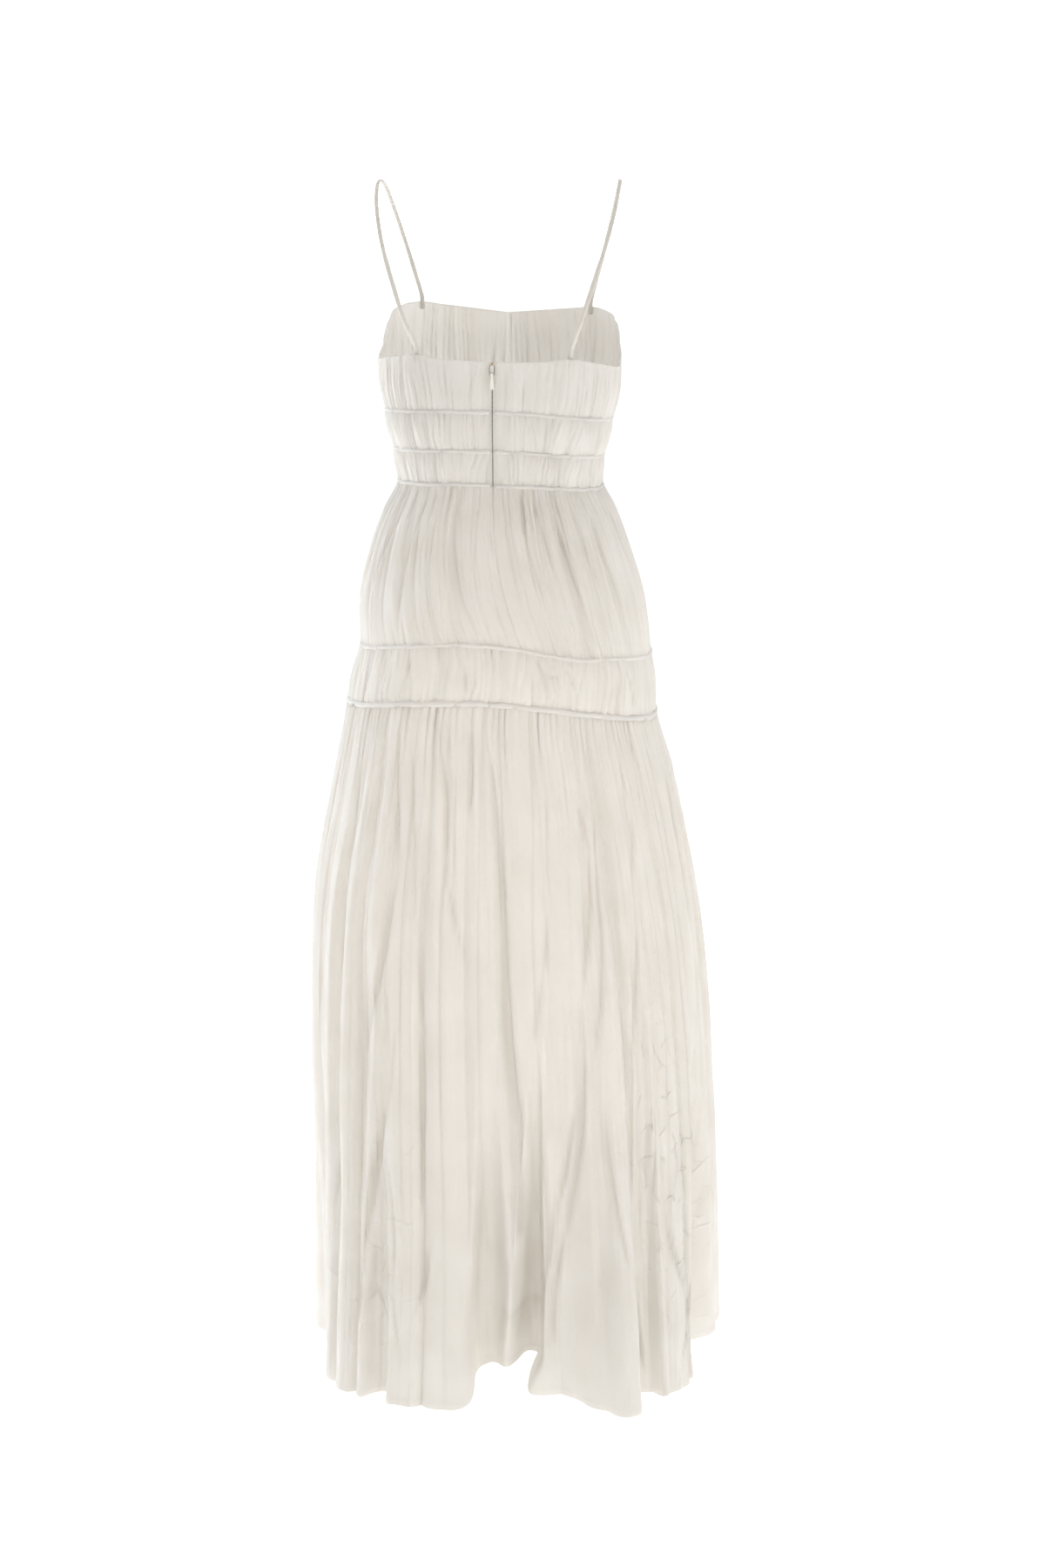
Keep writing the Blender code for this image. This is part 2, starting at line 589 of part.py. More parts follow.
def make_pull(hinge, dress, tools):
    """A drop-shaped pull tab that hangs from a barrel round the slider's pin."""
    outline = [(PULL_NECK / 2, 0.0), (PULL_NECK / 2, -PULL_NECK_LENGTH)]
    round_end = PULL_WIDTH / 2
    centre = -PULL_LENGTH + round_end
    for degrees in range(20, -91, -10):  # from beside the round end's middle down to its lowest point
        turn = math.radians(degrees)
        outline.append((round_end * math.cos(turn), centre + round_end * math.sin(turn)))
    outline += [(-x, z) for x, z in reversed(outline[:-1])]
    curve = bpy.data.curves.new("pull_plate", "CURVE")
    curve.dimensions = "2D"
    curve.fill_mode = "BOTH"
    curve.extrude = PULL_WALL / 2
    spline = curve.splines.new("POLY")
    spline.points.add(len(outline) - 1)
    for spot, (x, z) in zip(spline.points, outline):
        spot.co = (x, z, 0.0, 1.0)
    spline.use_cyclic_u = True
    flat = add_object("pull_plate", curve, WHITE_METAL, tools)
    flat.rotation_euler = (math.pi / 2, 0.0, 0.0)
    flat.location = hinge
    bpy.context.view_layer.update()
    graph = bpy.context.evaluated_depsgraph_get()
    mesh = bpy.data.meshes.new_from_object(flat.evaluated_get(graph))
    caps = bmesh.new()
    caps.from_mesh(mesh)
    bmesh.ops.remove_doubles(caps, verts=caps.verts, dist=1e-6)
    bmesh.ops.recalc_face_normals(caps, faces=caps.faces[:])
    caps.to_mesh(mesh)
    caps.free()
    pull = bpy.data.objects.new("zip_pull", mesh)
    pull.matrix_world = flat.matrix_world
    dress.objects.link(pull)
    bpy.data.objects.remove(flat, do_unlink=True)
    barrel_length = EARS_APART - 2 * SEAM_GAP
    barrel = bar_across("pull_barrel", PULL_BARREL, barrel_length, hinge, WHITE_METAL, tools)
    combine(pull, barrel, "UNION")
    bore = bar_across("pull_bore", PIN + SEAM_GAP, 2 * EARS_APART, hinge, WHITE_METAL, tools)
    combine(pull, bore, "DIFFERENCE")


def main():
    clear_scene()
    dress = new_collection("maxi_dress")
    tools = new_collection("tools")
    make_bodice(dress)
    make_yoke(dress)
    make_skirt(dress)
    make_cords(dress)
    make_straps(dress)
    make_zip(dress, tools)


main()
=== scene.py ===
# %% [markdown]
# # A long cotton dress, worn and empty
#
# The part's solids are plain: one wall for each cut piece of cloth, a rod for each corded seam and strap, and
# a small zip. This lesson puts thin cloth and piping in their places, and adds thread and a zip coil. Text
# before each step says what the real thing is and how it could be made. Each cell prints what it made.

# %% Load the solids
import math
from collections import namedtuple

import bmesh
import bpy
import numpy as np
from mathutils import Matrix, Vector


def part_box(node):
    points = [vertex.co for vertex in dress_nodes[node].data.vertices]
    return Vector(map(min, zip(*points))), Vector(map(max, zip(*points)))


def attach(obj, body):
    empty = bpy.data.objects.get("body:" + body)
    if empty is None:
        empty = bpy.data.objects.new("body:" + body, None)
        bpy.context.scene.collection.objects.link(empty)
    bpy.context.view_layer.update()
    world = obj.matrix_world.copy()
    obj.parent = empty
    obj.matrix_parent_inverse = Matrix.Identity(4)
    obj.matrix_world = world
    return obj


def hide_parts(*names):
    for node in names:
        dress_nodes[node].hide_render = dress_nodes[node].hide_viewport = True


MM = 0.001
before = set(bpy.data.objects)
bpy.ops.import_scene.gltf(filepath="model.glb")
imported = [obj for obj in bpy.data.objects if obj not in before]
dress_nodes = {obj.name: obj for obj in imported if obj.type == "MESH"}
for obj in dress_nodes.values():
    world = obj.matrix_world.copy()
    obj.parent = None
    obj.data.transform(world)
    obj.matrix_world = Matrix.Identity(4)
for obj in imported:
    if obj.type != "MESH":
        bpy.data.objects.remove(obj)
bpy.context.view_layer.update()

# %% [markdown]
# ## Camera, floor and light
#
# The camera stands at shoulder height and has a long lens, so that the hem isn't much smaller than the
# shoulders. The optical axis stays near the straps and the lens is shifted down, as on a view camera, which
# keeps the sides upright. The light is a studio's: white walls all round at the horizon, a dimmer ceiling and
# a lit backdrop behind the dress. A key light gives the folds one lit side, two rims make the sides glow, a
# fill with a honeycomb grid warms the middle, and a top light keeps the corded seams white.

# %% Camera
LENS_MM = 53.91
SENSOR_MM = 36.0
CAMERA_PLACE = (-0.1984, 2.4922, 0.0)
CAMERA_TILT = 8.217  # degrees below level
CAMERA_HEADING = 184.0  # degrees from +Y, so it looks at the back from slightly to one side
CAMERA_SHIFT = -0.17

scene = bpy.context.scene
camera_data = bpy.data.cameras.new("camera")
camera_data.lens = LENS_MM
camera_data.sensor_width = SENSOR_MM
camera_data.shift_y = CAMERA_SHIFT
camera = bpy.data.objects.new("camera", camera_data)
camera.location = CAMERA_PLACE
camera.rotation_euler = (math.radians(90 - CAMERA_TILT), 0.0, math.radians(CAMERA_HEADING))
scene.collection.objects.link(camera)
scene.camera = camera
print("camera:", tuple(round(v, 3) for v in camera.location), "lens", LENS_MM, "mm")


# %% Colours and nodes
def linear(hex_colour):
    """The linear RGBA of an sRGB hex colour, as shader sockets take it."""
    shares = [int(hex_colour[place:place + 2], 16) / 255 for place in (1, 3, 5)]
    light = [s / 12.92 if s <= 0.04045 else ((s + 0.055) / 1.055) ** 2.4 for s in shares]
    return (*light, 1.0)


def add_node(tree, kind, inputs=(), **settings):
    """Adds a node, sets its properties, and fills its inputs with values or with other nodes' sockets."""
    made = tree.nodes.new(kind)
    for name, value in settings.items():
        setattr(made, name, value)
    for key, value in dict(inputs).items():
        if isinstance(value, bpy.types.NodeSocket):
            tree.links.new(value, made.inputs[key])
        else:
            made.inputs[key].default_value = value
    return made


def calculate(tree, operation, *values):
    """The output of a Math node on one or two values or sockets."""
    return add_node(tree, "ShaderNodeMath", dict(enumerate(values)), operation=operation).outputs["Value"]


def new_material(name):
    """An empty node material and its output node."""
    material = bpy.data.materials.new(name)
    material.use_nodes = True
    material.node_tree.nodes.clear()
    output = add_node(material.node_tree, "ShaderNodeOutputMaterial")
    return material, material.node_tree, output


print("white cotton is about", [round(v, 2) for v in linear("#ece6dc")[:3]], "in linear light")

# %% Floor
FLOOR_HEIGHT = -1.43
FLOOR_RADIUS = 40.0
FLOOR_GLOW = 0.7  # lifts the floor to the plain white of the walls

# Matt paint has no gloss, so the floor shows no image of the dress.
floor_paint, tree, output = new_material("matt white floor paint")
paint = add_node(tree, "ShaderNodeBsdfPrincipled", {
    "Base Color": linear("#f8f7f4"),
    "Roughness": 0.9,
    "Emission Color": (1, 1, 1, 1),
    "Emission Strength": FLOOR_GLOW,
})
tree.links.new(paint.outputs["BSDF"], output.inputs["Surface"])

bpy.ops.mesh.primitive_circle_add(vertices=96, radius=FLOOR_RADIUS, fill_type="NGON")
floor = bpy.context.object
floor.location = (0, 0, FLOOR_HEIGHT)
floor.name = "floor"
floor.data.materials.append(floor_paint)
print("floor at", FLOOR_HEIGHT, "m")

# %% Light
HORIZON_LIGHT = 1.03
CEILING_LIGHT = 0.27
BACKDROP_GAIN = 2.9  # the lit backdrop behind the dress against the other walls
WALL_COLOUR = (0.985, 0.99, 1.0, 1.0)
WALLS_TO = 0.05  # sine of the height above the horizon where the walls' own light ends
CEILING_FROM = 0.35  # and where the ceiling's light is reached
BACKDROP_FROM = -0.8  # how far a direction has to point to -Y for the backdrop's full gain

world = bpy.data.worlds.new("studio walls")
scene.world = world
world.use_nodes = True
tree = world.node_tree
tree.nodes.clear()
direction = add_node(tree, "ShaderNodeTexCoord")
split = add_node(tree, "ShaderNodeSeparateXYZ", {"Vector": direction.outputs["Generated"]})
strength = add_node(tree, "ShaderNodeMapRange", {
    "Value": split.outputs["Z"],
    "From Min": WALLS_TO,
    "From Max": CEILING_FROM,
    "To Min": HORIZON_LIGHT,
    "To Max": CEILING_LIGHT,
})
backdrop = add_node(tree, "ShaderNodeMapRange", {
    "Value": split.outputs["Y"],
    "From Min": 0.0,
    "From Max": BACKDROP_FROM,
    "To Min": 1.0,
    "To Max": BACKDROP_GAIN,
})
power = calculate(tree, "MULTIPLY", strength.outputs["Result"], backdrop.outputs["Result"])
walls = add_node(tree, "ShaderNodeBackground", {"Color": WALL_COLOUR, "Strength": power})
add_node(tree, "ShaderNodeOutputWorld", {"Surface": walls.outputs["Background"]})

SoftBox = namedtuple("SoftBox", "name place aim width height power spread colour")
SOFT_BOXES = (  # metres, watts, and degrees that a honeycomb grid lets the light spread
    SoftBox("key light", (-3.2, 2.0, -0.2), (0, 0, -0.9), 0.7, 1.8, 17, 180, (1.0, 0.97, 0.93)),
    SoftBox("left rim", (2.8, -0.9, -0.6), (0.15, 0, -0.9), 1.0, 1.8, 50, 180, (0.82, 0.91, 1.0)),
    SoftBox("right rim", (-2.8, -1.2, -0.6), (-0.15, 0, -0.9), 1.0, 1.8, 16, 180, (0.82, 0.91, 1.0)),
    SoftBox("front fill", (-0.3, 3.0, -0.6), (0, 0, -0.70), 1.0, 0.5, 0.62, 24, (1.0, 0.92, 0.82)),
    SoftBox("top light", (0.1, 0.25, 2.2), (0, 0.15, -0.5), 1.0, 0.7, 24, 180, (1.0, 0.98, 0.95)),
)
for box in SOFT_BOXES:
    light = bpy.data.lights.new(box.name, "AREA")
    light.shape = "RECTANGLE"
    light.size = box.width
    light.size_y = box.height
    light.energy = box.power
    light.spread = math.radians(box.spread)
    light.color = box.colour
    lamp = bpy.data.objects.new(box.name, light)
    lamp.location = box.place
    lamp.rotation_euler = (Vector(box.aim) - Vector(box.place)).to_track_quat("-Z", "Y").to_euler()
    scene.collection.objects.link(lamp)
scene.view_settings.view_transform = "Standard"
print("soft boxes:", len(SOFT_BOXES))

# %% [markdown]
# ## The shape that the cloth follows
#
# The solids come from a few horizontal sections of the figure, from the levels of the seams, and from tables
# of gathers and folds. The same numbers are used here, on whole grids of points at once, so the thin cloth
# lies on the form of its solid, and finer folds can then be added to it.

# %% Sections and levels
Section = namedtuple("Section", "height half_width back front square shift")
SECTIONS = (  # metres, and how square the corners are
    Section(-1.280, 0.2240, 0.2290, 0.1980, 0.062, -0.020),
    Section(-1.080, 0.2175, 0.2100, 0.1880, 0.050, -0.017),
    Section(-0.900, 0.2135, 0.1910, 0.1780, 0.042, -0.011),
    Section(-0.760, 0.2040, 0.1720, 0.1640, 0.035, -0.006),
    Section(-0.640, 0.1830, 0.1500, 0.1460, 0.030, -0.004),
    Section(-0.560, 0.1655, 0.1380, 0.1330, 0.030, -0.001),
    Section(-0.500, 0.1565, 0.1350, 0.1280, 0.030, -0.006),
    Section(-0.445, 0.1505, 0.1290, 0.1240, 0.030, -0.002),
    Section(-0.390, 0.1350, 0.1150, 0.1170, 0.035, 0.000),
    Section(-0.350, 0.1220, 0.1030, 0.1100, 0.035, 0.000),
    Section(-0.320, 0.1085, 0.0940, 0.1040, 0.040, 0.000),
    Section(-0.285, 0.1120, 0.0965, 0.1100, 0.040, 0.000),
    Section(-0.245, 0.1210, 0.1000, 0.1210, 0.040, 0.000),
    Section(-0.190, 0.1285, 0.1000, 0.1240, 0.040, 0.000),
    Section(-0.130, 0.1290, 0.0985, 0.1120, 0.040, 0.000),
)

Level = namedtuple("Level", "back side front tilt sag")
LEVELS = {  # heights at the back, sides and front, a tilt, and a sag at SAG_ANGLE, all in metres
    "seam_1": Level(-0.238, -0.247, -0.244, 0.0050, 0.000),
    "seam_2": Level(-0.279, -0.287, -0.283, 0.0040, 0.000),
    "waist": Level(-0.3145, -0.3215, -0.318, 0.0035, 0.000),
    "hip_upper": Level(-0.4755, -0.5005, -0.500, 0.0045, 0.008),
    "hip_lower": Level(-0.5360, -0.5640, -0.560, 0.0060, 0.002),
    "hem": Level(-1.2640, -1.2610, -1.262, -0.0050, 0.000),
}
SAG_ANGLE = -26.0
SAG_REACH = 18.0  # degrees to each side
HEM_LIFT = 0.028  # metres, where two deep folds draw the hem up
HEM_LIFT_ANGLE = 0.5
HEM_LIFT_REACH = 8.0

# The top edge: degrees from the centre back, and heights in metres.
EDGE_ANGLES = (0, 20, 34, 50, 80, 95, 112, 124, 138, 152, 180)
EDGE_HEIGHTS = (
    -0.1860, -0.1850, -0.1815, -0.1860, -0.1920, -0.1860, -0.1500, -0.1405, -0.1370, -0.1400, -0.1470
)
TOP_EDGE_TILT = 0.004
print("sections:", len(SECTIONS), "and levels:", len(LEVELS))


# %% Curves through the tables
def smooth_step(low, high, value):
    """0 below `low`, 1 above `high`, and a smooth rise between them."""
    share = np.clip((value - low) / (high - low), 0.0, 1.0)
    return share * share * (3 - 2 * share)


def smooth_curve(keys, values, at):
    """Values at `at` on a smooth curve through the points, whose keys rise."""
    keys, values = np.asarray(keys, float), np.asarray(values, float)
    places = np.arange(len(keys))
    before, after = np.maximum(places - 1, 0), np.minimum(places + 1, len(keys) - 1)
    slopes = (values[after] - values[before]) / (keys[after] - keys[before])
    at = np.clip(at, keys[0], keys[-1])
    i = np.clip(np.searchsorted(keys, at) - 1, 0, len(keys) - 2)
    span = keys[i + 1] - keys[i]
    share = (at - keys[i]) / span
    square, cube = share ** 2, share ** 3
    return (
        values[i] * (2 * cube - 3 * square + 1)
        + values[i + 1] * (3 * square - 2 * cube)
        + span * slopes[i] * (cube - 2 * square + share)
        + span * slopes[i + 1] * (cube - square)
    )


def signed(angle):
    """The same angle between -180 and 180 degrees."""
    return (angle + 180.0) % 360.0 - 180.0


at_hip = smooth_curve([row.height for row in SECTIONS], [row.back for row in SECTIONS], -0.5)
print("the back stands out at the hip by", round(float(at_hip), 3), "m")


# %% Points on the body
def level_height(name, angle):
    """Height of a seam or an edge at angles from the centre back, which rise towards the wearer's left."""
    turn = np.radians(angle)
    if name == "top":
        return smooth_curve(EDGE_ANGLES, EDGE_HEIGHTS, np.abs(signed(angle))) + TOP_EDGE_TILT * np.sin(turn)
    level = LEVELS[name]
    middle = np.where(np.cos(turn) > 0, level.back, level.front)
    moved = -level.sag * np.exp(-((signed(angle - SAG_ANGLE) / SAG_REACH) ** 2))
    if name == "hem":
        moved = moved + HEM_LIFT * np.exp(-((signed(angle - HEM_LIFT_ANGLE) / HEM_LIFT_REACH) ** 2))
    return middle + (level.side - middle) * np.sin(turn) ** 2 + level.tilt * np.sin(turn) + moved


def body_points(angle, height, out=0.0, aside=0.0):
    """Points of the smooth body shape, moved out along its normal and aside towards the wearer's left."""
    keys = [row.height for row in SECTIONS]
    row = Section(*(
        smooth_curve(keys, [getattr(line, name) for line in SECTIONS], height) for name in Section._fields
    ))
    turn = np.radians(angle)
    across = row.half_width / (1 - row.square)
    deep = np.where(np.cos(turn) > 0, row.back, row.front) / (1 - row.square)
    x = across * (np.sin(turn) + row.square * np.sin(3 * turn)) + row.shift
    y = deep * (np.cos(turn) - row.square * np.cos(3 * turn))
    along_x = across * (np.cos(turn) + 3 * row.square * np.cos(3 * turn))
    along_y = deep * (-np.sin(turn) + 3 * row.square * np.sin(3 * turn))
    size = np.hypot(along_x, along_y)
    along_x, along_y = along_x / size, along_y / size
    z = np.broadcast_to(height, x.shape)
    return np.stack([x - along_y * out + along_x * aside, y + along_x * out + along_y * aside, z], axis=-1)


waist = body_points(np.array([90.0, 270.0]), np.array([-0.32, -0.32]))
print("waist width", round(float(waist[0, 0] - waist[1, 0]), 3), "m")

# %% Wide gathers
Band = namedtuple("Band", "upper lower gathers puff at_upper middle at_lower seed")
BANDS = {  # two levels, gathers round the body, and millimetres that the band and its gathers stand out
    "bodice_tier1": Band("top", "seam_1", 32, 2.0, 1.2, 2.5, 1.4, 1.0),
    "bodice_tier2": Band("seam_1", "seam_2", 32, 2.4, 1.4, 2.6, 1.4, 2.0),
    "bodice_tier3": Band("seam_2", "waist", 32, 1.8, 1.4, 2.4, 1.4, 3.0),
    "yoke": Band("waist", "hip_upper", 28, 2.5, 1.6, 3.4, 1.6, 4.0),
    "hip_band": Band("hip_upper", "hip_lower", 32, 3.0, 1.6, 3.0, 1.6, 5.0),
    "lower_skirt": Band("hip_lower", "hem", 36, 3.0, 2.2, 5.5, 7.0, 6.0),
}
GATHER_STRENGTH = 0.72  # share of the height that a gather has on average
GATHER_SPREAD = 0.38  # and how much that differs from one to the next
GATHER_FADE = 0.45  # how much of the weakest gather is gone at its lower end
SLOW_DRIFT = 2.2  # degrees that gathers stray from even spacing
QUICK_DRIFT = 1.3


def seam_angle(band, around):
    """Gathers come wider and narrower, and keep to the four seams."""
    turn = np.radians(around)
    shift = SLOW_DRIFT * np.sin(3 * turn + band.seed) + QUICK_DRIFT * np.sin(7 * turn + 2 * band.seed)
    return around + shift * np.sin(2 * turn) ** 2


def wide_gathers(band, around, down):
    """Height in metres of the gathers that the solids have too."""
    place = band.gathers * around / 360.0
    number = np.floor(place) % band.gathers
    strength = GATHER_STRENGTH + GATHER_SPREAD * np.sin(2.4 * number + band.seed)
    upper = band.at_upper + (band.middle - band.at_upper) * smooth_step(0.0, 0.5, down)
    lower = band.middle + (band.at_lower - band.middle) * smooth_step(0.5, 1.0, down)
    weakness = 0.5 + 0.5 * np.sin(1.7 * number + 3 * band.seed)
    lasts = 1.0 - GATHER_FADE * weakness * down
    shape = 1.9 * np.abs(np.sin(np.pi * (place + 0.25))) ** 0.75 - 1.15  # round crests and sharp valleys
    return np.where(down < 0.5, upper, lower) * MM * strength * lasts * shape


print("wide gathers round the skirt:", BANDS["lower_skirt"].gathers)

# %% Folds
FOLD_SHARPNESS = 4.0  # 2 gives a bell, and more gives a flat trough with steep sides
FOLD_START_WIDTH = 0.40  # share of its half width where a fold sets in
HEM = 2.00  # the end of a fold that runs out at the hem

Fold = namedtuple("Fold", "begins heads half_width depth start full end lean")
FOLDS = {  # degrees, millimetres, and shares of the way down; a fold that stands out has a depth below 0
    "yoke": (
        Fold(17, 13, 2.6, 4.0, -0.20, 0.35, 1.30, 0.0),
        Fold(-12, -13, 2.2, 3.5, -0.20, 0.12, 0.40, 0.0),
        Fold(-19, -26, 2.4, 4.0, -0.20, 0.30, 0.80, 0.0),
        Fold(41, 36, 3.0, 3.5, -0.10, 0.40, 1.10, 0.0),
        Fold(-47, -44, 3.0, 3.5, -0.10, 0.45, 1.00, 0.0),
        Fold(74, 70, 3.0, 3.5, -0.10, 0.30, 0.90, 0.0),
        Fold(118, 122, 3.0, 4.0, -0.10, 0.35, 1.10, 0.0),
        Fold(152, 158, 2.6, 3.5, -0.20, 0.25, 0.80, 0.0),
        Fold(196, 193, 2.6, 4.0, -0.20, 0.40, 1.20, 0.0),
        Fold(229, 224, 3.0, 3.5, -0.10, 0.30, 0.90, 0.0),
    ),
    "lower_skirt": (
        Fold(1.5, 3.2, 4.3, 54, 0.50, 1.00, HEM, 0.12),
        Fold(-14, -4.2, 3.0, 72, 0.45, 1.00, HEM, -0.12),
        Fold(9.8, 9.8, 3.0, -3, 0.86, 1.00, HEM, 3.00),
        Fold(-9.0, -9.0, 2.8, -4, 0.95, 1.00, HEM, -3.50),
        Fold(3, -4, 2.4, 6, -0.10, 0.20, 0.55, 0.00),
        Fold(15, 5, 2.4, 6, -0.05, 0.20, 0.42, 0.00),
        Fold(-34, -26, 3.0, 7, -0.05, 0.16, 0.36, 0.00),
        Fold(-28, -24, 2.8, 8, 0.05, 0.26, 0.50, 0.00),
        Fold(-40, -36, 3.6, 22, 0.18, 0.95, HEM, -0.10),
        Fold(-32, -28, 5.0, -18, 0.45, 1.00, HEM, 0.00),
        Fold(-22, -11.0, 8.0, 31, 0.30, 1.00, HEM, 0.00),
        Fold(34, 38, 3.0, 8, 0.28, 0.50, 0.80, 0.00),
        Fold(32, 31.5, 3.2, 20, 0.45, 0.95, HEM, 0.00),
        Fold(68, 66, 9.5, 56, 0.30, 1.00, HEM, -0.20),
        Fold(-64, -67, 9.0, 52, 0.35, 1.00, HEM, 0.20),
        Fold(50, 48, 3.0, 8, 0.05, 0.40, 0.90, 0.00),
        Fold(-80, -81, 3.4, 9, 0.10, 0.50, 1.10, 0.00),
        Fold(97, 102, 5.0, 22, 0.20, 0.90, HEM, 0.00),
        Fold(121, 117, 4.0, 12, 0.02, 0.45, 1.10, 0.00),
        Fold(137, 140, 6.5, 34, 0.22, 1.00, HEM, -0.15),
        Fold(163, 158, 3.6, 14, 0.05, 0.55, 1.30, 0.00),
        Fold(178, 184, 7.0, 40, 0.15, 1.00, HEM, 0.15),
        Fold(205, 202, 3.4, 12, 0.10, 0.50, 1.00, 0.00),
        Fold(222, 219, 6.5, 32, 0.25, 1.00, HEM, -0.10),
        Fold(247, 251, 4.0, 16, 0.05, 0.60, HEM, 0.00),
    ),
}
print("folds:", {name: len(rows) for name, rows in FOLDS.items()})

# %% The form of a band
FLAT_TO = 4.0  # degrees from the zip, where the gathers set in
FULL_FROM = 8.5
YOKE_SEAM_DRIFT = -9.5  # degrees that the yoke's centre-back seam leans aside on its way down


def cloth_form(name, around, down):
    """Points on the outer face of a band's solid, for whole arrays of places."""
    band = BANDS[name]
    angle = seam_angle(band, around)
    near_back = signed(around)
    if name == "yoke":
        drift = YOKE_SEAM_DRIFT * down ** 2 * np.cos(np.radians(near_back)) ** 2
        angle = angle + np.where(np.abs(near_back) < 90, drift, 0.0)
    upper, lower = level_height(band.upper, angle), level_height(band.lower, angle)
    height = upper + (lower - upper) * down
    out = band.puff * MM * 4 * down * (1 - down) + wide_gathers(band, around, down)
    if name not in ("hip_band", "lower_skirt"):
        out = out * smooth_step(FLAT_TO, FULL_FROM, np.abs(near_back))
    aside = np.zeros_like(out)
    for fold in FOLDS.get(name, ()):
        rise = smooth_step(fold.start, fold.full, down)
        fall = 1.0 if fold.end == HEM else 1.0 - smooth_step(fold.full, fold.end, down)
        centre = fold.begins + (fold.heads - fold.begins) * down
        width = fold.half_width * (FOLD_START_WIDTH + (1 - FOLD_START_WIDTH) * rise)
        reach = np.exp(-(np.abs(signed(angle - centre)) / width) ** FOLD_SHARPNESS)
        inward = fold.depth * MM * rise * fall * reach
        out = out - inward
        aside = aside + inward * fold.lean
    return body_points(angle, height, out, aside)


hem = cloth_form("lower_skirt", np.linspace(0, 360, 721), np.ones(721))
print("hem's outline", round(float(np.linalg.norm(np.diff(hem, axis=0), axis=1).sum()), 2), "m")

# %% [markdown]
# ## Fine ruching, creases and crumple
#
# Ruched cotton voile has a gather every 5 or 6 mm along its seam. The gathers wander, join and die out on
# their way. Below a seam they are tight and narrow, and further down the cloth only keeps creases from
# wearing and packing. Real sewing would pull the cloth up on two threads. A simulation of that needs far
# more cloth than fits a quick script, so the gathers here are rounded ridges whose place and strength come
# from smooth noise, and the main creases are laid one by one from a table.


# %% Smooth noise that closes round the body
def grain(column, row, seed):
    """A number from -1 to 1 for each cell of a grid, the same on every run."""
    mixed = np.sin(column * 127.1 + row * 311.7 + seed * 74.7) * 43758.5453
    return 2 * (mixed - np.floor(mixed)) - 1


def soft_noise(x, y, columns, seed):
    """Smooth noise from -1 to 1, which repeats after a number of columns."""
    left, low = np.floor(x), np.floor(y)
    share_x, share_y = smooth_step(0, 1, x - left), smooth_step(0, 1, y - low)
    here, there = left % columns, (left + 1) % columns
    bottom = grain(here, low, seed) * (1 - share_x) + grain(there, low, seed) * share_x
    top = grain(here, low + 1, seed) * (1 - share_x) + grain(there, low + 1, seed) * share_x
    return bottom * (1 - share_y) + top * share_y


def rounded(place, roundness):
    """Round crests and sharp valleys from 0 to 1, one for each whole step of `place`."""
    return np.abs(np.sin(np.pi * place)) ** roundness


print("noise repeats:", bool(np.isclose(soft_noise(0.5, 0.5, 9, 1), soft_noise(9.5, 0.5, 9, 1))))

# %% Ruching
Ruching = namedtuple("Ruching", "gathers upper middle lower fades seed")
RUCHING = {  # gathers round the body, heights in millimetres, and the share of the band over which they fade
    "bodice_tier1": Ruching(132, 1.4, 2.0, 1.7, 0.14, 11),
    "bodice_tier2": Ruching(132, 1.7, 2.0, 1.7, 0.14, 12),
    "bodice_tier3": Ruching(126, 1.7, 1.9, 1.7, 0.14, 13),
    "yoke": Ruching(132, 2.6, 1.4, 1.6, 0.20, 14),
    "hip_band": Ruching(120, 2.9, 2.3, 2.9, 0.18, 15),
    "lower_skirt": Ruching(150, 4.4, 0.5, 0.3, 0.07, 16),
}
RUCHING_SWAY = 0.75  # how far groups of gathers wander, in gathers
RUCHING_JITTER = 0.20  # and each gather alone
RUCHING_STRENGTH = 0.62  # share of the height that a gather has on average
RUCHING_SPREAD = 0.55  # and how much that differs from one to the next
RUCHING_LEVEL = 0.68  # near the mean of a crest, so that ruching adds no thickness


def ruching(name, around, down):
    """Height in metres of the fine gathers."""
    kind = RUCHING[name]
    height = (
        kind.middle
        + (kind.upper - kind.middle) * np.exp(-down / kind.fades)
        + (kind.lower - kind.middle) * np.exp(-(1 - down) / kind.fades)
    )
    place = around / 360 * kind.gathers
    third = kind.gathers // 3
    place = place + RUCHING_SWAY * soft_noise(place / 3, 1.3 * down, third, kind.seed)
    place = place + RUCHING_JITTER * soft_noise(place / 1.5, 3.1 * down, 2 * third, kind.seed + 1)
    spread = RUCHING_SPREAD * soft_noise(place, 1.6 * down, kind.gathers, kind.seed + 2)
    return MM * height * (RUCHING_STRENGTH + spread) * (rounded(place, 0.6) - RUCHING_LEVEL)


sample = ruching("bodice_tier2", np.linspace(0, 360, 5000), np.full(5000, 0.5))
print("ruching in a tier, mm:", np.round([sample.min() / MM, sample.max() / MM], 1).tolist())

# %% Long narrow folds
LongFolds = namedtuple("LongFolds", "count height wander seed")
LONG_FOLDS = {  # round the body, millimetres, shares of a fold
    "yoke": LongFolds(60, 1.4, 0.5, 61),
    "lower_skirt": LongFolds(72, 2.6, 0.6, 62),
}
LONG_FOLD_LEVEL = 0.7  # near the mean of a crest


def long_folds(name, around, down):
    """Height in metres of the narrow folds that run on from the gathers, some of them down to the hem."""
    if name not in LONG_FOLDS:
        return np.zeros_like(around)
    kind = LONG_FOLDS[name]
    place = around / 360 * kind.count
    place = place + kind.wander * soft_noise(place / 4, 2.2 * down, kind.count // 4, kind.seed)
    strength = smooth_step(-0.6, 0.7, soft_noise(place, 0.9 * down, kind.count, kind.seed + 1))
    lasts = smooth_step(0.0, 0.08, down) * (1 - 0.5 * smooth_step(0.4, 0.9, down))
    return MM * kind.height * strength * lasts * (rounded(place, 0.55) - LONG_FOLD_LEVEL)


print("long folds:", {name: kind.count for name, kind in LONG_FOLDS.items()})

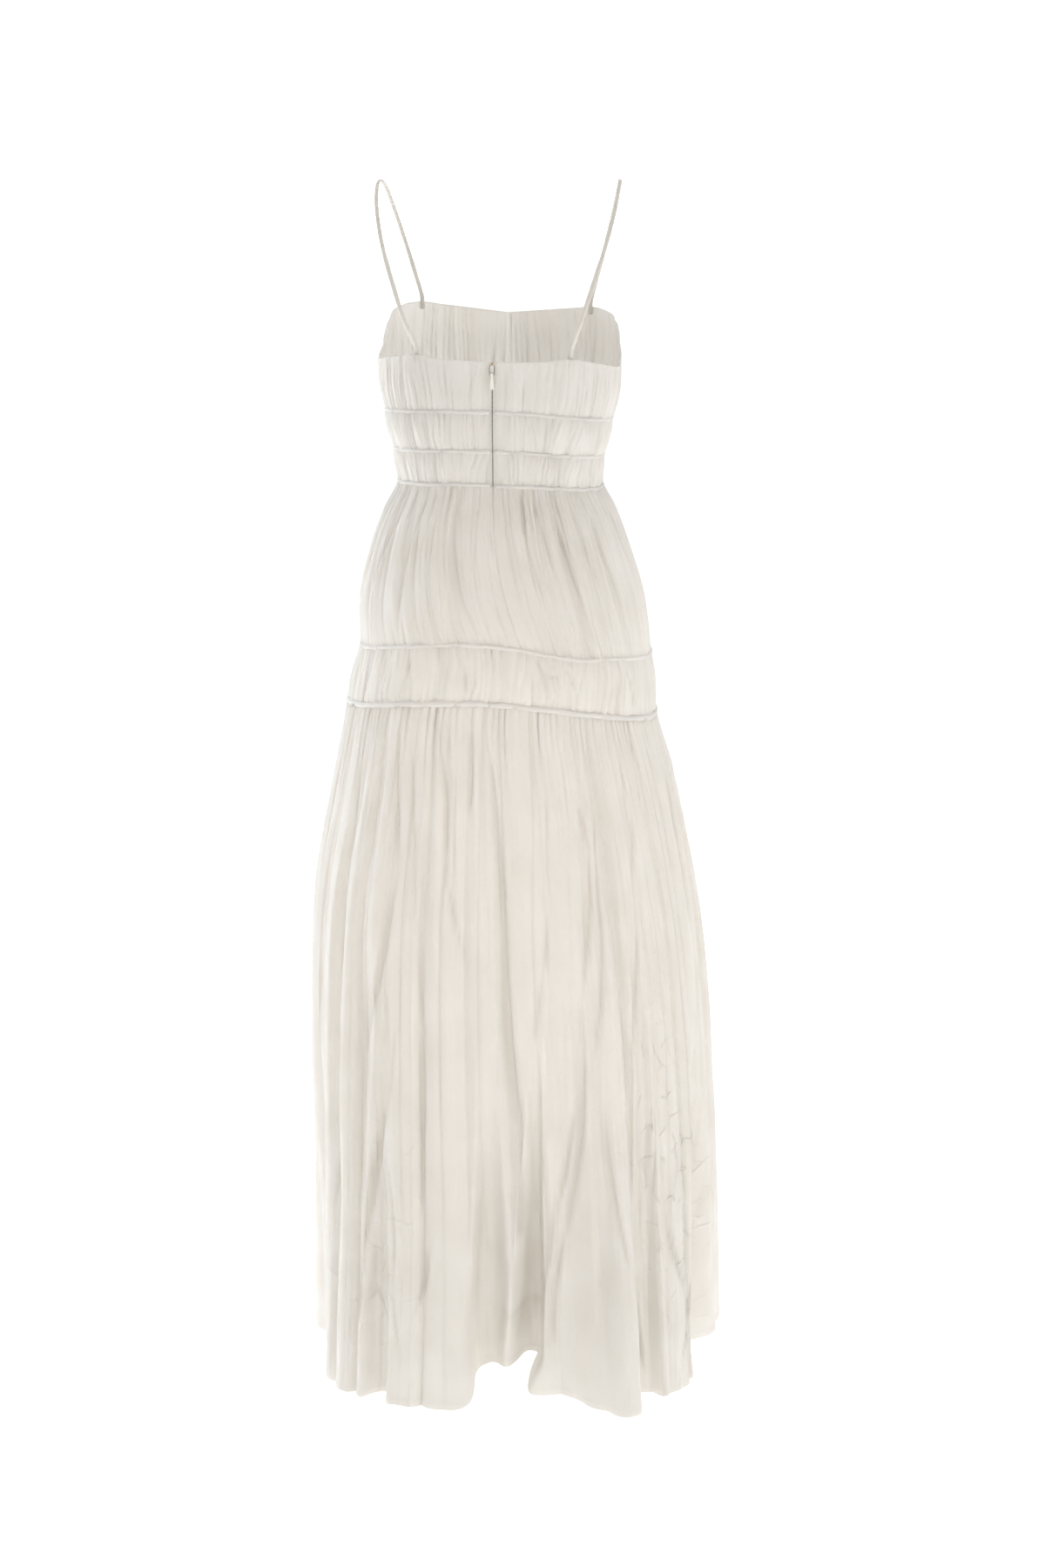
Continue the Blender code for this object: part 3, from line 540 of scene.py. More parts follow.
# %% Puckers at the seams
Puckers = namedtuple("Puckers", "count height reach")
SEAM_PUCKERS = Puckers(246, 0.7, 0.007)  # round the body, millimetres, metres from the seam


def puckers(name, around, from_upper, from_lower):
    """Height of the small tight puckers where the cloth goes into a corded seam."""
    band = BANDS[name]
    place = around / 360 * SEAM_PUCKERS.count
    place = place + 0.6 * soft_noise(place / 3, from_upper * 0, SEAM_PUCKERS.count // 3, band.seed + 30)
    strength = 0.6 + 0.4 * soft_noise(place, from_upper * 0, SEAM_PUCKERS.count, band.seed + 31)
    near = np.zeros_like(from_upper)
    if band.upper != "top":
        near = near + np.exp(-from_upper / SEAM_PUCKERS.reach)
    if band.lower != "hem":
        near = near + np.exp(-from_lower / SEAM_PUCKERS.reach)
    return MM * SEAM_PUCKERS.height * strength * near * np.sin(2 * np.pi * place)


print("puckers round a seam:", SEAM_PUCKERS.count)

# %% Wrinkles and crinkles
Wrinkles = namedtuple("Wrinkles", "width slant length height seed")
SOFT_WRINKLES = (  # width in degrees, slant in widths a metre, length in metres, height in millimetres
    Wrinkles(3.0, 6, 0.034, 0.25, 41),
    Wrinkles(1.2, -9, 0.015, 0.10, 42),
)
SHARP_CRINKLES = (
    Wrinkles(2.5, 0, 0.130, 0.75, 43),
    Wrinkles(1.5, 0, 0.055, 0.45, 47),
)
CRINKLE_LINE = 0.42  # how near to a level line a crinkle's valley begins


def crinkle_lines(around, height, kind):
    """Thin wandering valleys, from 0 to -1, along the level lines of a stretched noise."""
    noise = soft_noise(around / kind.width, height / kind.length, round(360 / kind.width), kind.seed)
    here = smooth_step(-0.5, 0.6, soft_noise(around / 15, height / 0.11, 24, kind.seed + 1))
    return -here * np.clip(1 - np.abs(noise) / CRINKLE_LINE, 0, 1)


def crumple(around, height, amount):
    """Uneven wrinkles, longer down the cloth than across it, with sharp crinkles among them."""
    relief = np.zeros_like(height)
    for kind in SOFT_WRINKLES:
        place = around / kind.width + kind.slant * height
        noise = soft_noise(place, height / kind.length, round(360 / kind.width), kind.seed)
        relief = relief + kind.height * noise
    for kind in SHARP_CRINKLES:
        relief = relief + kind.height * crinkle_lines(around, height, kind)
    return MM * amount * relief


print("kinds of crumple:", len(SOFT_WRINKLES) + len(SHARP_CRINKLES))

# %% Creases
Crease = namedtuple("Crease", "angle height to_angle to_height bow half_width depth")
CREASES = {  # ends in degrees and metres, the rest in millimetres, and a ridge's depth is less than 0
    "yoke": (
        Crease(17, -0.331, 13, -0.468, -3, 3.0, 1.6),
        Crease(10, -0.339, 2, -0.352, 2, 2.0, 0.9),
        Crease(9, -0.347, 3, -0.362, -1, 1.8, 0.7),
        Crease(2, -0.355, 1, -0.386, 1, 2.0, 0.8),
        Crease(-13, -0.318, -13, -0.365, 2, 2.6, 1.5),
        Crease(-13, -0.352, -16, -0.431, -3, 2.8, 1.4),
        Crease(-26, -0.322, -31, -0.473, 6, 3.0, 1.6),
        Crease(-19, -0.330, -22, -0.410, 3, 2.4, 1.2),
        Crease(33, -0.327, 42, -0.476, -5, 3.2, 1.6),
        Crease(46, -0.325, 61, -0.483, -8, 3.4, 1.6),
        Crease(25, -0.335, 26, -0.472, -3, 2.8, 1.3),
        Crease(-48, -0.325, -55, -0.480, 6, 3.2, 1.6),
        Crease(-38, -0.335, -42, -0.440, 4, 2.6, 1.2),
        Crease(72, -0.330, 80, -0.470, -4, 3.0, 1.4),
        Crease(-70, -0.335, -79, -0.480, 4, 3.0, 1.5),
        Crease(104, -0.330, 108, -0.465, 4, 3.0, 1.4),
        Crease(131, -0.325, 128, -0.480, -5, 3.2, 1.7),
        Crease(149, -0.330, 146, -0.430, 3, 2.8, 1.3),
        Crease(171, -0.322, 174, -0.470, 4, 3.0, 1.6),
        Crease(188, -0.345, 186, -0.420, -3, 2.6, 1.2),
        Crease(211, -0.325, 217, -0.485, 5, 3.2, 1.6),
        Crease(238, -0.330, 244, -0.450, -4, 2.8, 1.4),
        Crease(259, -0.325, 256, -0.470, 4, 3.0, 1.5),
    ),
    "hip_band": (
        Crease(-13, -0.487, -18, -0.522, 2, 2.2, 1.3),
        Crease(-19, -0.493, -22, -0.530, -2, 2.2, 1.4),
        Crease(-24, -0.499, -29, -0.532, 2, 2.0, 1.2),
        Crease(-16, -0.505, -24, -0.512, 1, 1.8, 0.9),
        Crease(12, -0.486, 9, -0.526, 1, 2.2, 1.2),
        Crease(31, -0.492, 34, -0.535, -2, 2.4, 1.2),
        Crease(-52, -0.505, -58, -0.548, 3, 2.4, 1.4),
        Crease(64, -0.500, 60, -0.545, 2, 2.4, 1.2),
        Crease(112, -0.512, 117, -0.550, 2, 2.4, 1.3),
        Crease(158, -0.508, 154, -0.548, -2, 2.4, 1.3),
        Crease(203, -0.508, 209, -0.550, 2, 2.4, 1.2),
        Crease(241, -0.515, 237, -0.552, -2, 2.4, 1.3),
    ),
    "lower_skirt": (
        Crease(17, -0.558, 13, -0.692, 3, 3.2, 2.0),
        Crease(13, -0.690, 7, -0.790, -3, 3.0, 1.6),
        Crease(32, -0.558, 27, -0.708, -3, 3.4, 2.2),
        Crease(27, -0.705, 36, -0.903, 6, 3.8, 2.6),
        Crease(27, -0.570, 20, -0.768, 2, 3.0, 1.6),
        Crease(6, -0.565, 7, -0.650, 2, 3.6, 2.4),
        Crease(1, -0.578, -3, -0.800, 4, 4.0, 2.8),
        Crease(-3, -0.780, -5, -0.960, -2, 4.0, 3.4),
        Crease(-5, -0.940, -4, -1.090, 2, 3.4, 3.0),
        Crease(-18, -0.960, -13, -1.060, 2, 2.6, 2.2),
        Crease(-13, -1.050, -9, -1.150, 2, 2.6, 2.2),
        Crease(-9, -1.140, -8, -1.240, 0, 2.4, 1.6),
        Crease(-41, -0.960, -38, -1.060, 3, 2.2, -1.6),
        Crease(-50, -1.010, -44, -1.075, 3, 2.2, -1.8),
        Crease(-44, -1.075, -52, -1.160, -3, 2.2, 1.8),
        Crease(-54, -1.030, -50, -1.090, -2, 2.2, -1.6),
        Crease(-56, -1.150, -48, -1.230, 4, 2.4, 1.8),
        Crease(19, -0.715, 18, -0.862, -2, 2.4, 1.2),
        Crease(18, -0.872, 19, -1.069, 2, 2.6, 1.4),
        Crease(17, -1.095, 21, -1.172, 5, 3.0, 1.6),
        Crease(-16, -0.630, -15, -0.740, -3, 2.6, 1.3),
        Crease(-14, -0.750, -8, -0.890, 3, 2.8, 1.6),
        Crease(-25, -0.635, -28, -0.690, 2, 2.8, 1.8),
        Crease(-28, -0.680, -22, -0.835, 3, 3.2, 2.2),
        Crease(-22, -0.830, -15, -1.090, 6, 4.0, 3.0),
        Crease(-15, -1.080, -12, -1.205, -3, 3.0, 1.8),
        Crease(-32, -0.650, -29, -0.771, -4, 2.6, 1.7),
        Crease(-29, -0.765, -24, -0.895, 3, 2.6, 1.8),
        Crease(-26, -0.945, -30, -1.112, -4, 3.2, 1.9),
        Crease(-46, -0.655, -41, -0.748, -2, 2.4, 1.4),
        Crease(-41, -0.745, -35, -0.900, 3, 2.8, 2.2),
        Crease(-35, -0.880, -33, -1.050, 2, 3.0, 2.4),
        Crease(-33, -1.040, -36, -1.240, -4, 3.4, 2.6),
        Crease(26, -0.870, 28, -0.960, 2, 2.8, 1.6),
        Crease(28, -0.950, 37, -1.190, -5, 4.0, 3.2),
        Crease(28, -1.015, 26, -1.142, 4, 3.0, 1.8),
        Crease(26, -1.138, 24, -1.206, -2, 2.4, 1.2),
        Crease(38, -1.146, 27, -1.158, -2, 5.0, 1.2),
        Crease(2, -1.165, -8, -1.190, 6, 6.0, 1.0),
        Crease(51, -0.600, 48, -0.750, 5, 3.2, 2.0),
        Crease(48, -0.745, 45, -0.912, -4, 3.2, 2.0),
        Crease(46, -0.905, 50, -1.080, 4, 3.4, 2.2),
        Crease(43, -0.570, 46, -0.632, 2, 2.6, 1.3),
        Crease(-46, -0.573, -42, -0.660, 2, 2.6, 1.3),
        Crease(-54, -0.586, -50, -0.668, -2, 2.6, 1.3),
        Crease(72, -0.600, 76, -0.820, 5, 3.4, 2.2),
        Crease(-76, -0.610, -72, -0.800, -5, 3.4, 2.2),
        Crease(103, -0.580, 106, -0.760, 4, 3.2, 2.2),
        Crease(108, -0.780, 101, -1.010, -5, 3.6, 2.6),
        Crease(128, -0.570, 131, -0.720, -3, 3.2, 2.0),
        Crease(131, -0.720, 127, -0.950, 5, 3.4, 2.4),
        Crease(149, -0.575, 152, -0.700, 3, 3.0, 2.0),
        Crease(152, -0.800, 148, -1.060, -6, 3.6, 2.6),
        Crease(166, -0.590, 170, -0.760, 4, 3.2, 2.2),
        Crease(171, -0.860, 168, -1.120, 5, 3.4, 2.4),
        Crease(189, -0.570, 186, -0.690, -3, 3.0, 2.0),
        Crease(192, -0.740, 197, -0.960, 5, 3.4, 2.4),
        Crease(208, -0.575, 211, -0.720, 3, 3.2, 2.1),
        Crease(210, -0.900, 204, -1.150, -5, 3.6, 2.6),
        Crease(229, -0.590, 233, -0.780, 4, 3.2, 2.2),
        Crease(236, -0.850, 231, -1.060, 5, 3.4, 2.4),
        Crease(252, -0.580, 249, -0.740, -3, 3.2, 2.1),
        Crease(258, -0.820, 262, -1.040, 4, 3.4, 2.3),
        Crease(143, -1.120, 156, -1.150, 4, 6.0, 2.2),
        Crease(214, -1.080, 226, -1.115, -4, 6.0, 2.2),
    ),
}
GIRTH_PER_DEGREE = 3.9 * MM  # about how far a degree is on the skirt
CREASE_STEEP = 0.55  # of its half width, on the side where the cloth falls in
CREASE_SOFT = 1.5  # on the other side
CREASE_LIP = 0.5  # height of the low ridge beside it, as a share of its depth
CREASE_GAIN = 1.25  # makes up for the depth that the lip and the ends take


def creases(name, angle, height):
    """Height in metres that the laid creases add: a trough with a low ridge on one side."""
    relief = np.zeros_like(height)
    for crease in CREASES.get(name, ()):
        across = signed(angle - crease.angle) * GIRTH_PER_DEGREE
        down = height - crease.height
        run_across = signed(crease.to_angle - crease.angle) * GIRTH_PER_DEGREE
        run_down = crease.to_height - crease.height
        length = math.hypot(run_across, run_down)
        share = (across * run_across + down * run_down) / length ** 2
        inside = np.clip(4 * share * (1 - share), 0.0, 1.0)
        aside = (across * run_down - down * run_across) / length - crease.bow * MM * inside
        width = crease.half_width * MM
        reach = np.where(aside > 0, CREASE_STEEP, CREASE_SOFT) * width
        profile = np.exp(-(np.abs(aside) / reach) ** 1.2)
        profile = profile - CREASE_LIP * np.exp(-((aside - 1.5 * width) / width) ** 2)
        relief -= CREASE_GAIN * crease.depth * MM * np.sqrt(inside) * profile
    return relief


print("creases:", {name: len(rows) for name, rows in CREASES.items()})

# %% Crushed spots
Crushed = namedtuple("Crushed", "angle height half_width half_height share")
CRUSHED = (  # where packing has crushed the skirt: degrees and metres
    Crushed(-44, -0.98, 12, 0.16, 0.8),
    Crushed(-64, -1.08, 16, 0.14, 1.0),
    Crushed(30, -1.15, 9, 0.06, 0.8),
    Crushed(24, -1.02, 10, 0.07, 0.4),
    Crushed(58, -1.12, 14, 0.10, 0.5),
    Crushed(-84, -0.80, 10, 0.12, 0.5),
    Crushed(112, -1.04, 14, 0.14, 0.8),
    Crushed(150, -1.15, 12, 0.07, 0.8),
    Crushed(196, -1.00, 16, 0.15, 0.7),
    Crushed(226, -1.10, 14, 0.12, 1.0),
    Crushed(250, -0.86, 12, 0.14, 0.6),
)
LEAST_CRUSHED = 0.12  # everywhere else


def crushed(around, height):
    """How crushed the cloth is at a place, up to 1."""
    share = np.full_like(height, LEAST_CRUSHED)
    for spot in CRUSHED:
        across = signed(around - spot.angle) / spot.half_width
        along = (height - spot.height) / spot.half_height
        share = share + spot.share * np.exp(-across ** 2 - along ** 2)
    return np.clip(share, 0.0, 1.0)


print("crushed spots:", len(CRUSHED))

# %% The cloth's finished surface
TURNED_HEM = 7 * MM
TURNED_TOP = 6 * MM
TURNED_STEP = 0.4 * MM  # how much prouder the cloth is where a second layer lies behind it
SMOOTH_TO = 0.6  # degrees from the zip, where the fine relief sets in
ROUGH_FROM = 3.2
SEAM_DIP = 0.7 * MM
SEAM_DIP_WIDTH = 0.45  # degrees
# Painted shade: between these two depths of a fine fold, the cloth's colour darkens to its shade colour.
FOLD_SHADE_FROM = 0.1 * MM  # how deep a fold is where it starts to look shaded
FOLD_SHADE_TO = 2.2 * MM
CRUMPLED = {  # how crumpled each band is
    "bodice_tier1": 0.5,
    "bodice_tier2": 0.5,
    "bodice_tier3": 0.5,
    "yoke": 1.0,
    "hip_band": 1.1,
    "lower_skirt": 1.7,
}


def seam_dip(around):
    """How far the cloth sinks where a side seam or the centre back is, from 0 to 1."""
    return sum(np.exp(-(signed(around - seam) / SEAM_DIP_WIDTH) ** 2) for seam in (0, 90, 270))


def cloth_surface(name, around, down):
    """Outer points, outward normals, and how deep in a fine fold each is, which sets the painted shade in the
    cloth's colour; rows go down, columns go round.
    """
    band = BANDS[name]
    around, down = np.meshgrid(around, down)
    form = cloth_form(name, around, down)
    height = form[..., 2]
    normal = np.cross(np.gradient(form, axis=1), np.gradient(form, axis=0))
    normal /= np.linalg.norm(normal, axis=2, keepdims=True)
    angle = seam_angle(band, around)
    length = level_height(band.upper, angle) - level_height(band.lower, angle)
    near_back = np.abs(signed(around))
    folded = ruching(name, around, down) + long_folds(name, around, down) + creases(name, angle, height)
    relief = (
        folded
        + puckers(name, around, length * down, length * (1 - down))
        + crumple(around, height, CRUMPLED[name])
    )
    if name not in ("hip_band", "lower_skirt"):
        relief = relief * smooth_step(SMOOTH_TO, ROUGH_FROM, near_back)
    if name in ("yoke", "hip_band", "lower_skirt"):
        relief = relief - SEAM_DIP * seam_dip(around)
    # How deep the cloth lies in a fine fold, which darkens its colour as painted shade.
    fold_shade = smooth_step(FOLD_SHADE_FROM, FOLD_SHADE_TO, -folded)
    if band.lower == "hem":
        relief = relief + TURNED_STEP * smooth_step(TURNED_HEM + MM, TURNED_HEM, length * (1 - down))
    if band.upper == "top":
        relief = relief * smooth_step(0.0, TURNED_TOP, length * down + 2 * MM)
        relief = relief + TURNED_STEP * smooth_step(TURNED_TOP + MM, TURNED_TOP, length * down)
    return form + normal * relief[..., None], normal, fold_shade


_, _, sample = cloth_surface("bodice_tier2", np.linspace(100, 260, 200), np.linspace(0.1, 0.9, 20))
print("deepest hollow in a tier, up to 1:", round(float(sample.max()), 2))

# %% Rows down the cloth
HEM_STITCH = 5.5 * MM
TOP_STITCH = 4.5 * MM
HEM_ROWS = np.array([11.0, 8.2, 7.0, 5.5, 3.5, 1.5]) * MM  # above the hem
TOP_ROWS = np.array([1.2, 2.8, 4.5, 6.0, 7.2]) * MM  # below the top edge


def rows_down(name, count, crowding):
    """Places from 0 to 1 that crowd towards both edges, with rows of their own where an edge is turned."""
    share = np.linspace(0, 1, count)
    down = share - crowding * np.sin(2 * np.pi * share) / (2 * np.pi)
    band = BANDS[name]
    length = float(level_height(band.upper, 0.0) - level_height(band.lower, 0.0))
    if band.lower == "hem":
        down = np.concatenate([down[down < 1 - 1.2 * HEM_ROWS[0] / length], 1 - HEM_ROWS / length, [1.0]])
    if band.upper == "top":
        down = np.concatenate([[0.0], TOP_ROWS / length, down[down > 1.3 * TOP_ROWS[-1] / length]])
    return down, length


print("the skirt has", len(rows_down("lower_skirt", 67, 0.45)[0]), "rows")

# %% [markdown]
# ## Cotton voile
# Deep in a fine fold its colour is darkened as painted shade.
#
# The dress is crinkled cotton voile: a plain weave of fine, hard-twisted yarns, about 30 threads to the
# centimetre, left undyed and unpressed. It is matt, with a faint sheen at glancing angles from loose fibre
# ends. It is thin enough that light from behind glows in it, though less in a fold, where it has to pass
# more layers. Its colour drifts slightly, because crinkles hold more or less light.
#
# Low on the skirt, packing has crushed it to facets a few centimetres wide with sharp ridges between them.
# Such ridges could be modelled, but each would need rows and columns of its own, so the edges of a Voronoi
# texture draw them as bump. Yarns 0.3 mm apart are too fine for a whole view of the dress, so the weave is
# drawn at 0.6 mm, which shows from close by.


# %% Voile
CRUSH_MM = 26  # from one crushed ridge to the next
CRUSH_WIDTH = 0.085  # of half a ridge, as a share of that
CRUSH_HEIGHT = 0.9 * MM
PATCH_MM = CRUSH_MM / 1.5  # size of the patches in which ridges last
DRIFT_PER_METRE = 22.0  # a patch of colour is about 45 mm wide
CRINKLE_LENGTH = 3.5  # as a share of a crinkle's width
WEAVE_DEPTH = 0.10 * MM
IN_FOLDS = 0.35  # share of the glow that is left where more layers lie over each other


def cloth_material(name, colour, shade, fold_shade_colour, threads_mm, crinkle_mm, crinkle_depth, glow):
    """A woven cotton with colour drift, painted shade deep in its fine folds, weave, crushed ridges and
    crinkles, and light that glows through.
    """
    material, tree, output = new_material(name)
    fold_shade = add_node(tree, "ShaderNodeAttribute", attribute_name="fold_shade")
    place = add_node(tree, "ShaderNodeUVMap", uv_map="cloth")
    drift = add_node(tree, "ShaderNodeTexNoise", {
        "Vector": place.outputs["UV"], "Scale": DRIFT_PER_METRE, "Detail": 1.0
    }, noise_dimensions="2D")
    drifting = add_node(tree, "ShaderNodeMix", {
        "Factor": drift.outputs["Fac"], 6: linear(colour), 7: linear(shade)
    }, data_type="RGBA")
    # Painted shade: the colour darkens to the third colour where the cloth lies deep in a fine fold.
    painted_shade_tint = add_node(tree, "ShaderNodeMix", {
        "Factor": fold_shade.outputs["Fac"], 6: drifting.outputs[2], 7: linear(fold_shade_colour)
    }, data_type="RGBA")

    stretched = add_node(tree, "ShaderNodeMapping", {
        "Vector": place.outputs["UV"],
        "Scale": (1000 / crinkle_mm, 1000 / (CRINKLE_LENGTH * crinkle_mm), 1.0),
    })
    crinkle = add_node(tree, "ShaderNodeTexNoise", {
        "Vector": stretched.outputs["Vector"], "Scale": 1.0, "Detail": 2.0, "Roughness": 0.6
    }, noise_dimensions="2D")
    threads = 1000 / threads_mm * math.pi / 10  # a Wave texture has ten bands in pi units
    warp = add_node(tree, "ShaderNodeTexWave", {
        "Vector": place.outputs["UV"], "Scale": threads
    }, wave_type="BANDS", bands_direction="X")
    weft = add_node(tree, "ShaderNodeTexWave", {
        "Vector": place.outputs["UV"], "Scale": threads
    }, wave_type="BANDS", bands_direction="Y")
    weave = calculate(tree, "MULTIPLY", warp.outputs["Fac"], weft.outputs["Fac"])
    woven = add_node(tree, "ShaderNodeBump", {"Strength": 0.25, "Distance": WEAVE_DEPTH, "Height": weave})
    packing = add_node(tree, "ShaderNodeTexVoronoi", {
        "Vector": place.outputs["UV"], "Scale": 1000 / CRUSH_MM
    }, feature="DISTANCE_TO_EDGE", voronoi_dimensions="2D")
    ridge = add_node(tree, "ShaderNodeMapRange", {
        "Value": packing.outputs["Distance"], "From Min": CRUSH_WIDTH, "From Max": 0.0
    }, interpolation_type="SMOOTHSTEP")
    patches = add_node(tree, "ShaderNodeTexNoise", {
        "Vector": place.outputs["UV"], "Scale": 1000 / PATCH_MM, "Detail": 0.0
    }, noise_dimensions="2D")
    lasting = add_node(tree, "ShaderNodeMapRange", {
        "Value": patches.outputs["Fac"], "From Min": 0.44, "From Max": 0.62
    }, interpolation_type="SMOOTHSTEP")
    share = add_node(tree, "ShaderNodeAttribute", attribute_name="crushed")
    here = calculate(tree, "MULTIPLY", lasting.outputs["Result"], share.outputs["Fac"])
    packed = add_node(tree, "ShaderNodeBump", {
        "Strength": 1.0,
        "Distance": CRUSH_HEIGHT,
        "Height": calculate(tree, "MULTIPLY", ridge.outputs["Result"], here),
        "Normal": woven.outputs["Normal"],
    })
    crinkled = add_node(tree, "ShaderNodeBump", {
        "Strength": 0.8,
        "Distance": crinkle_depth * MM,
        "Height": crinkle.outputs["Fac"],
        "Normal": packed.outputs["Normal"],
    })
    rough = add_node(tree, "ShaderNodeMapRange", {
        "Value": crinkle.outputs["Fac"], "To Min": 0.78, "To Max": 0.95
    })
    front = add_node(tree, "ShaderNodeBsdfPrincipled", {
        "Base Color": painted_shade_tint.outputs[2],
        "Roughness": rough.outputs["Result"],
        "Specular IOR Level": 0.25,
        "Sheen Weight": 0.22,
        "Sheen Roughness": 0.45,
        "Sheen Tint": (1.0, 0.99, 0.97, 1.0),
        "Normal": crinkled.outputs["Normal"],
    })
    through = add_node(tree, "ShaderNodeBsdfTranslucent", {
        "Color": painted_shade_tint.outputs[2], "Normal": crinkled.outputs["Normal"]
    })
    layers = add_node(tree, "ShaderNodeMapRange", {
        "Value": fold_shade.outputs["Fac"], "To Min": glow, "To Max": IN_FOLDS * glow
    })
    lit = add_node(tree, "ShaderNodeMixShader", {
        0: layers.outputs["Result"], 1: front.outputs["BSDF"], 2: through.outputs["BSDF"]
    })
    tree.links.new(lit.outputs["Shader"], output.inputs["Surface"])
    return material


# The third colour of each cloth is painted shade for the depths of its fine folds.
voile = cloth_material(
    "crinkled cotton voile", "#f7f5f2", "#f1eee9", "#e4dfd7",
    threads_mm=0.6, crinkle_mm=2.6, crinkle_depth=0.45, glow=0.49,
)
# Cut on the bias, the same voile lies smoother over a cord, and its two layers let less light through.
bias_voile = cloth_material(
    "cotton voile on the bias", "#f9f7f4", "#f4f1ed", "#ece8e1",
    threads_mm=0.6, crinkle_mm=1.8, crinkle_depth=0.30, glow=0.44,
)
# A rouleau has its own seam allowance inside, so it is the densest and lets little light through. Its colour
# is drawn greyer than the voile's, as painted shade that sets the strap off against the pale background.
greyed_strap_voile = cloth_material(
    "cotton voile in four layers", "#dedad2", "#d6d0c7", "#cfc8bd",
    threads_mm=0.6, crinkle_mm=1.8, crinkle_depth=0.30, glow=0.08,
)
print("cloth finishes:", voile.name, "and", bias_voile.name, "and", greyed_strap_voile.name)

# %% [markdown]
# ## Thin cloth for each cut piece
#
# Each piece is a grid of points on the finished surface, made a shell by Solidify. Voile is 0.2 mm thick and
# is drawn at 0.45 mm, so that its edge shows. Where an edge is turned and stitched, at the top and the hem,
# there are two or three layers, and a vertex group gives the full 1.0 mm there. Beside the zip the cloth
# rolls in and runs back behind itself, and four more columns of the grid follow that.

# %% Making a sheet
SHELL = 1.0 * MM
SINGLE_LAYER = 0.45  # share of the full thickness
CLOTH_ROUND = {"bodice": 1.05, "yoke": 1.25, "hip_band": 1.25, "lower_skirt": 2.00}  # flat, in metres


def flat_width(name):
    """How wide the flat cloth of a whole band is, before it is gathered."""
    return next(width for start, width in CLOTH_ROUND.items() if name.startswith(start))


def new_piece(name, mesh, material, replaced=(), body="dress"):
    """Adds a finished mesh to the scene as a piece that rides on a body."""
    obj = bpy.data.objects.new(name, mesh)
    if not mesh.materials:
        mesh.materials.append(material)
    scene.collection.objects.link(obj)
    if replaced:
        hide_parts(*replaced)
    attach(obj, body)
    return obj


def grid_mesh(name, points, flat, closed=False, shares=None):
    """A mesh of quads over a grid of points, with its flat place in metres as the UV map."""
    rows, columns = points.shape[:2]
    number = np.arange(rows * columns).reshape(rows, columns)
    if closed:
        number = np.concatenate([number, number[:, :1]], axis=1)
    quads = np.stack([number[:-1, :-1], number[:-1, 1:], number[1:, 1:], number[1:, :-1]], axis=-1)
    mesh = bpy.data.meshes.new(name)
    mesh.from_pydata(points.reshape(-1, 3).tolist(), [], quads.reshape(-1, 4).tolist())
    mesh.shade_smooth()
    layer = mesh.uv_layers.new(name="cloth")
    corners = np.empty(len(mesh.loops), dtype=np.int64)
    mesh.loops.foreach_get("vertex_index", corners)
    uv = flat.reshape(-1, 2)[corners]
    if closed:  # the last column of quads runs on instead of back to the start
        quad_column = (np.arange(len(corners)) // 4) % columns
        wraps = (quad_column == columns - 1) & (corners % columns == 0)
        uv[wraps, 0] += flat[0, 1, 0] * columns - flat[0, 0, 0] * (columns - 1)
    layer.data.foreach_set("uv", uv.astype(np.float32).ravel())
    for share, values in (shares or {}).items():
        attribute = mesh.attributes.new(share, "FLOAT", "POINT")
        attribute.data.foreach_set("value", values.astype(np.float32).ravel())
    return mesh


print("flat cloth round the skirt:", flat_width("lower_skirt"), "m")

# %% The rolled edge beside the zip
ZIP_HALF_GAP = 0.6 * MM
ZIP_ROLL = ((-0.10, 0.35), (0.05, 0.85), (0.60, 1.05), (2.5, 1.10))  # millimetres back and in
ZIP_ROLL_STEP = 1.2 * MM  # of flat cloth from one column of the roll to the next


def turned_under(points, normal, at_start):
    """Columns for a zip's edge of cloth, which rolls in and runs back behind the panel."""
    edge, beside = (points[:, 0], points[:, 2]) if at_start else (points[:, -1], points[:, -3])
    facing = normal[:, 0] if at_start else normal[:, -1]
    back = beside - edge
    back /= np.linalg.norm(back, axis=1, keepdims=True)
    rolled = [edge + back * across * MM - facing * depth * MM for across, depth in ZIP_ROLL]
    return np.stack(rolled[::-1] if at_start else rolled, axis=1)


print("columns in a rolled edge:", len(ZIP_ROLL))

# %% A cut piece
BACK_FLATNESS = 1.25  # a degree at the centre back is this much wider than on a circle
hem_lines = []
top_lines = []


def edge_line(points, normal, distances, distance):
    """The row of points that lies at a distance from an edge, and its normals."""
    row = int(np.argmin(np.abs(distances - distance)))
    return points[row], normal[row]


